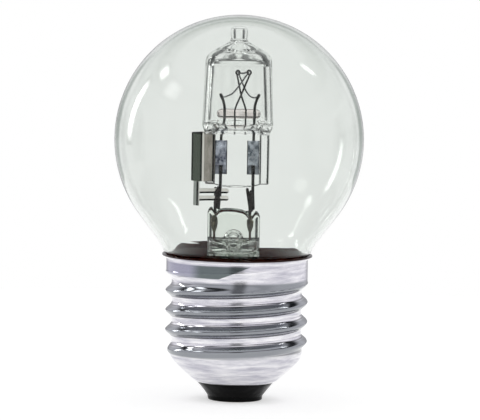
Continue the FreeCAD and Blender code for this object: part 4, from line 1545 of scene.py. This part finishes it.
@dataclass
class CapShell:
    """The rolled aluminium shell: flared rim, skirt, right-hand thread and bowl, from one sheet."""

    pitch: float = 3.629
    crest_at_front_left: float = 14.6455
    crest: float = 13.08
    root: float = 11.95
    skirt: float = 13.0
    rim: float = 13.78
    rim_height: float = 26.65
    wall: float = 0.3
    thread_foot: float = 9.0
    skirt_top: float = 26.0
    groove_fades: tuple[float, float] = (1.5, 1.86)
    crest_fades: tuple[float, float] = (-1.95, -1.05)
    columns: int = 240

    def radius(self, angle: Array, height: Array) -> Array:
        """Radius of the threaded wall at each angle and height.

        The crest's height climbs one pitch a turn: h = h0 + pitch a / 2 pi. With f = (z - h) / pitch,
        the wall is root + (crest - root) (1/2 + 1/2 cos 2 pi f) ^ 1.7. The groove above crest k fades
        out along its own path u = k + a / 2 pi near the skirt, and the lowest crest fades in.

        Args:
            angle: Angles round the axis, from +x towards +y.
            height: Heights.

        Returns:
            Radii.
        """
        turn = angle / (2.0 * math.pi)
        phase = (height - self.crest_at_front_left) / self.pitch - turn
        wave = (0.5 + 0.5 * np.cos(2.0 * math.pi * phase)) ** 1.7
        groove = 1.0 - smooth(turn + np.floor(phase), *self.groove_fades)
        first = smooth(turn + np.round(phase), *self.crest_fades)
        base = self.root + 0.27 * smooth(-height, -10.6, -8.9)
        threaded = base + (self.crest - base) * wave * first
        return threaded + (self.skirt - threaded) * (1.0 - groove)

    def outside(self) -> Array:
        """Outline of the outside at each angle, from the mouth up: bowl, thread, skirt and flared rim.

        The bowl's upper end eases into the thread's own radius at that angle.

        Returns:
            Array [row, column, (radius, height)].
        """
        angle = circle(self.columns)
        bowl = even(spline([
            (7.2, 3.45), (7.69, 3.72), (8.53, 4.44), (9.39, 5.18), (10.24, 5.93), (10.98, 6.66),
            (11.63, 7.4), (12.05, 8.1), (12.2, 8.84), (12.22, self.thread_foot),
        ], 8), 0.16)
        height = np.linspace(self.thread_foot, self.skirt_top, 176)[1:, None]
        rim = spline([
            (self.skirt, self.skirt_top), (13.03, 26.2), (13.2, 26.38), (13.5, 26.54),
            (self.rim, self.rim_height),
        ], 5)[1:]
        low = self.radius(angle, np.array([[self.thread_foot]])) - bowl[-1, 0]
        radius = np.concatenate([
            bowl[:, :1] + smooth(bowl[:, 1:], 8.1, self.thread_foot) * low,
            self.radius(angle, height),
            rim[:, :1] + 0.0 * angle,
        ])
        height = np.concatenate([bowl[:, 1:], height, rim[:, 1:]]) + 0.0 * angle
        return np.stack([radius, height], axis=-1)

    def build(self) -> None:
        """Give the sheet its wall: the inside follows the outside square to it, with fewer rows."""
        outside = self.outside()
        way = unit(np.gradient(outside, axis=0))
        inner = outside - self.wall * np.stack([way[..., 1], -way[..., 0]], axis=-1)
        inner = inner[::-3]
        lip = (outside[-1:] + inner[:1]) / 2.0 + np.array([0.05, 0.07])
        profile = np.concatenate([outside, lip, inner], axis=0)
        grid = rings(profile[..., 0], profile[..., 1], circle(self.columns))
        place_piece("threaded_shell", net(grid, loop=True).facing(), ALUMINIUM.material(), "cap_shell",
                    50.0)


@dataclass
class CapFillings:
    """Cement between shell and neck, black glass foot, and the contact with its solder."""

    cement_foot: float = 18.4
    cement_top: float = 26.5
    columns: int = 160

    def cement(self) -> Surface:
        """A ring between the neck and the shell, squeezed up over the rim at the back.

        Its top is the cement's height + r (1.15 + 0.45 l): r rises from the sides to the back, l from the
        middle to the left. The inside wets the glass, 0.02 mm deep and in the glass's own facets, the
        outside stays within the sheet, and ripples finish the edge.

        Returns:
            The cement.
        """
        globe = OuterGlobe()
        angle = circle(globe.columns)
        back = smooth(np.sin(angle), 0.3, 0.62)
        left = smooth(-np.cos(angle), 0.1, 0.5)
        ripple = 0.06 * np.sin(5.0 * angle) + 0.04 * np.sin(13.0 * angle + 1.0)
        top = self.cement_top + back * (1.15 + 0.45 * left) + ripple
        height = self.cement_foot + (top - self.cement_foot) * np.linspace(0.0, 1.0, 90)[:, None]
        outline = globe.rows()
        outline = outline[outline[:, 1] < 30.0][::-1]
        inner = np.interp(height, outline[:, 1], outline[:, 0]) - 0.02
        outer = np.interp(
            height, [self.cement_foot, 23.8, 24.6, 25.7, 26.1, 26.4, 26.65, 27.0, 28.4],
            [11.58, 11.58, 12.5, 12.62, 12.7, 12.95, 13.3, 13.72, 14.0],
        )
        edge = smooth(height, top - 0.5, top)
        outer = np.maximum(outer, inner + 0.05)
        outer = outer + (inner + 0.1 - outer) * edge
        grid = rings(np.vstack([inner, outer[::-1]]), np.vstack([height, height[::-1]]), angle)
        return net(grid, loop=True).facing()

    def foot(self) -> Surface:
        """The black glass: a cone with a blunt lip, a hollow top, and slow waves in its radius.

        Returns:
            The black glass.
        """
        angle = circle(self.columns)
        profile = spline([
            (4.6, 0.55), (4.62, 0.16), (4.8, 0.06), (5.0, 0.2), (5.06, 0.55), (5.1, 0.85), (5.45, 1.35),
            (6.0, 2.05), (6.75, 2.95), (7.15, 3.5), (7.6, 4.1), (9.3, 5.65), (10.4, 6.65), (10.9, 7.5),
            (10.6, 7.9), (8.0, 7.75), (3.2, 7.7), (2.3, 7.3), (2.05, 6.3), (1.9, 5.3), (0.6, 5.2),
            (0.6, 1.0), (1.0, 0.75),
        ], 6)
        radius, height = profile[:, :1], profile[:, 1:]
        wave = 0.05 * np.sin(3.0 * angle) + 0.035 * np.sin(7.0 * angle + 1.0)
        share = smooth(height, 0.9, 2.0) * (1.0 - smooth(height, 2.6, 3.4))
        return net(rings(radius + share * wave, height, angle), loop=True).facing()

    def build(self) -> None:
        """Place the fillings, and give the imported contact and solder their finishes."""
        place_piece("capping_cement", self.cement(), CEMENT.material(), "cap_cement", 50.0)
        place_piece("black_glass_foot", self.foot(), BLACK_GLASS.material(),
                    "cap_insulator", GLASS_CREASE)
        for node, finish in (("centre_contact", BRASS), ("contact_solder", SOLDER)):
            packed = bpy.data.objects[node]
            for slot in packed.material_slots:
                slot.material = finish.material()
            LOG.info("%s keeps its packed shape", node)


# Studio

class Ray(Enum):
    """Light Path outputs that see the white surroundings."""

    CAMERA = "Is Camera Ray"
    TRANSMISSION = "Is Transmission Ray"
    GLOSSY = "Is Glossy Ray"


@dataclass
class Card:
    """A soft box that only mirrors in glass and metal."""

    name: str
    azimuth: float
    elevation: float
    width: float
    height: float
    strength: float
    distance: float = 0.6


@dataclass
class Studio:
    """Pale floor, white surroundings, soft boxes and the camera."""

    aim: Point = (0.37, 0.0, 35.0)
    distance: float = 0.8
    elevation: float = 5.0
    focal: float = 327.0
    sensor: float = 36.0
    roll: float = 0.95
    floor_radius: float = 0.19
    floor_glow: float = 0.48
    card_aim: float = 45.0
    cards: tuple[Card, ...] = (
        Card("soft_box_left", azimuth=149.0, elevation=12.0, width=10.0, height=34.0, strength=12.0),
        Card("soft_box_upper_left", azimuth=158.0, elevation=38.0, width=16.0, height=9.0, strength=9.0),
        Card("soft_box_front_left", azimuth=188.0, elevation=36.0, width=26.0, height=16.0, strength=5.0),
        Card("soft_box_right", azimuth=21.0, elevation=44.0, width=5.0, height=15.0, strength=12.0),
    )

    def camera(self) -> None:
        """Stand the camera in front, level with the photograph's view, and roll it a little."""
        lift = math.radians(self.elevation)
        aim = Vector(self.aim) * MM
        away = Vector((0.0, -math.cos(lift), math.sin(lift))) * self.distance
        data = bpy.data.cameras.new("camera")
        data.lens = self.focal
        data.sensor_width = self.sensor
        data.clip_start = 0.01
        data.clip_end = 100.0
        camera = bpy.data.objects.new("camera", data)
        turn = (-away).to_track_quat("-Z", "Y").to_matrix().to_4x4()
        roll = Matrix.Rotation(math.radians(self.roll), 4, "Z")
        camera.matrix_world = Matrix.Translation(aim + away) @ turn @ roll
        bpy.context.scene.collection.objects.link(camera)
        bpy.context.scene.camera = camera

    def world(self) -> None:
        """White for the eye, soft for the light, and a white tent with dark gaps for mirrors and edges.

        With (x, y, z) the direction, |4 x y (x x - y y)| peaks a quarter of the way to the side. Smooth
        steps of it and of |z| leave the gaps that draw the dark outlines of clear glass. Steps of |z|, y
        and |x / y| make the bright belt and the roof that the rolled metal mirrors.
        """
        world = bpy.data.worlds.new("studio")
        world.use_nodes = True
        tree = world.node_tree
        tree.nodes.clear()
        way = add_node(tree, "ShaderNodeSeparateXYZ", {
            "Vector": add_node(tree, "ShaderNodeTexCoord").outputs["Generated"],
        })
        sums: dict[Any, Any] = dict(zip("xyz", way.outputs))
        for name, operation, one, two in (
            ("rise", "ABSOLUTE", "z", 0.0),
            ("xx", "MULTIPLY", "x", "x"),
            ("yy", "MULTIPLY", "y", "y"),
            ("xy", "MULTIPLY", "x", "y"),
            ("squares", "SUBTRACT", "xx", "yy"),
            ("crossed", "MULTIPLY", "xy", "squares"),
            ("four", "MULTIPLY", "crossed", 4.0),
            ("quarter", "ABSOLUTE", "four", 0.0),
            ("ahead", "MINIMUM", "y", -0.01),
            ("side", "DIVIDE", "x", "ahead"),
            ("beside", "ABSOLUTE", "side", 0.0),
        ):
            sums[name] = add_node(tree, "ShaderNodeMath", (sums.get(one, one), sums.get(two, two)),
                                  operation=operation).outputs[0]
        y, rise = sums["y"], sums["rise"]
        path = add_node(tree, "ShaderNodeLightPath").outputs
        nested = region(tree, [Step(path["Transmission Depth"], 4.3, 4.7)])
        lit = region(tree, [Step(path["Diffuse Depth"], 0.0, 1.0)])
        tent = region(
            tree,
            [Step(sums["quarter"], 0.80, 0.93, 1.0, 0.0), Step(rise, 0.24, 0.30, 1.0, 0.0)],
            [Step(rise, 0.50, 0.62)],
        )
        belt = [
            Step(rise, 0.44, 0.58, 1.0, 0.0),
            Step(rise, 0.03, 0.10, 0.72, 1.0),
            Step(y, 0.80, 0.97, 1.0, 0.55),
        ]
        bright = region(
            tree,
            [*belt, Step(sums["beside"], 0.10, 0.30, 0.3, 1.0)],
            [*belt, Step(y, -0.5, -0.3)],
            [Step(rise, 0.66, 0.76)],
        )
        tones: dict[Any, Any] = {"plain": linear("f2f2f2")}
        for name, share, one, two in (
            ("gap", nested, linear("aeb6b0"), linear("202425")),
            ("tent", tent, "gap", WHITE),
            ("belt", bright, linear("24282a"), linear("fcfbff")),
            ("mirrored", path[Ray.GLOSSY.value], "plain", "belt"),
            ("inside", lit, "tent", "plain"),
            ("through", path[Ray.TRANSMISSION.value], "mirrored", "inside"),
            ("whole", path[Ray.CAMERA.value], "through", WHITE),
        ):
            tones[name] = add_node(tree, "ShaderNodeMix", {
                0: share, 6: tones.get(one, one), 7: tones.get(two, two),
            }, data_type="RGBA").outputs[2]
        back = add_node(tree, "ShaderNodeBackground", {"Color": tones["whole"], "Strength": 1.0})
        add_node(tree, "ShaderNodeOutputWorld", {"Surface": back.outputs[0]})
        bpy.context.scene.world = world

    def floor(self) -> None:
        """A pale matt round table top that takes the lamp's shadow and has some white of its own."""
        radius = np.linspace(0.002, self.floor_radius / MM, 40)[:, None]
        surface = net(rings(radius, 0.0 * radius, circle(96)), foot=True)
        material = blank_material("pale_paper_floor")
        tree = material.node_tree
        path = add_node(tree, "ShaderNodeLightPath")
        seen = region(tree, *([Step(path.outputs[ray.value], 0.0, 1.0, 0.0, self.floor_glow)] for ray in Ray))
        paper = add_node(tree, "ShaderNodeBsdfDiffuse", {"Color": linear("d9d9d9")})
        glow = add_node(tree, "ShaderNodeEmission", {"Color": WHITE, "Strength": seen})
        both = add_node(tree, "ShaderNodeAddShader", (paper.outputs[0], glow.outputs[0]))
        add_node(tree, "ShaderNodeOutputMaterial", {"Surface": both.outputs[0]})
        floor = add_mesh("studio_floor", surface, material)

    def hang(self, card: Card) -> None:
        """Hang one soft box that faces the lamp, fades to its edges and shows only in its mirror image.

        Args:
            card: Its bearing, height, size in degrees and strength.
        """
        bearing, lift = math.radians(card.azimuth), math.radians(card.elevation)
        way = Vector((math.cos(bearing) * math.cos(lift), math.sin(bearing) * math.cos(lift), math.sin(lift)))
        side = Vector((-math.sin(bearing), math.cos(bearing), 0.0))
        up = way.cross(side)
        middle = way * card.distance + Vector((0.0, 0.0, self.card_aim * MM))
        half_x = card.distance * math.tan(math.radians(card.width / 2.0))
        half_z = card.distance * math.tan(math.radians(card.height / 2.0))
        corners = [
            middle + side * half_x * x + up * half_z * z for x, z in ((-1, -1), (1, -1), (1, 1), (-1, 1))
        ]
        material = blank_material(card.name)
        tree = material.node_tree
        depth = add_node(tree, "ShaderNodeLightPath").outputs["Glossy Depth"]
        place = add_node(tree, "ShaderNodeTexCoord").outputs["Object"]
        off = add_node(tree, "ShaderNodeVectorMath", (place, tuple(middle)), operation="SUBTRACT").outputs[0]
        steps = [Step(depth, 0.0, 1.0, 0.0, card.strength)]
        for axis, half, core in ((side, half_x, 0.15), (up, half_z, 0.35)):
            along = add_node(tree, "ShaderNodeVectorMath", (off, tuple(axis)), operation="DOT_PRODUCT")
            away = add_node(tree, "ShaderNodeMath", [along.outputs["Value"]], operation="ABSOLUTE").outputs[0]
            steps.append(Step(away, half * core, half, 1.0, 0.0))
        glow = add_node(tree, "ShaderNodeEmission", {"Color": WHITE, "Strength": region(tree, steps)})
        add_node(tree, "ShaderNodeOutputMaterial", {"Surface": glow.outputs[0]})
        box = add_mesh(card.name, Surface(np.array(corners) / MM, [[0, 1, 2, 3]]), material)
        box.visible_camera = False
        box.visible_diffuse = False
        box.visible_shadow = False

    def build(self) -> None:
        """Set the view, the surroundings and the soft boxes."""
        scene = bpy.context.scene
        scene.view_settings.view_transform = "Standard"
        scene.cycles.max_bounces = 32
        scene.cycles.transmission_bounces = 28
        scene.cycles.glossy_bounces = 12
        self.camera()
        self.world()
        self.floor()
        for card in self.cards:
            self.hang(card)


def main() -> None:
    """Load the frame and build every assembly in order."""
    logging.basicConfig(level=logging.INFO, format="%(message)s")
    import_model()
    for assembly in (
        Studio(), OuterGlobe(), Stem(), Leads(), Capsule(), PinchInserts(),
        FilamentGroup(), SupportClip(), CapShell(), CapFillings(),
    ):
        assembly.build()


if __name__ == "__main__":
    main()
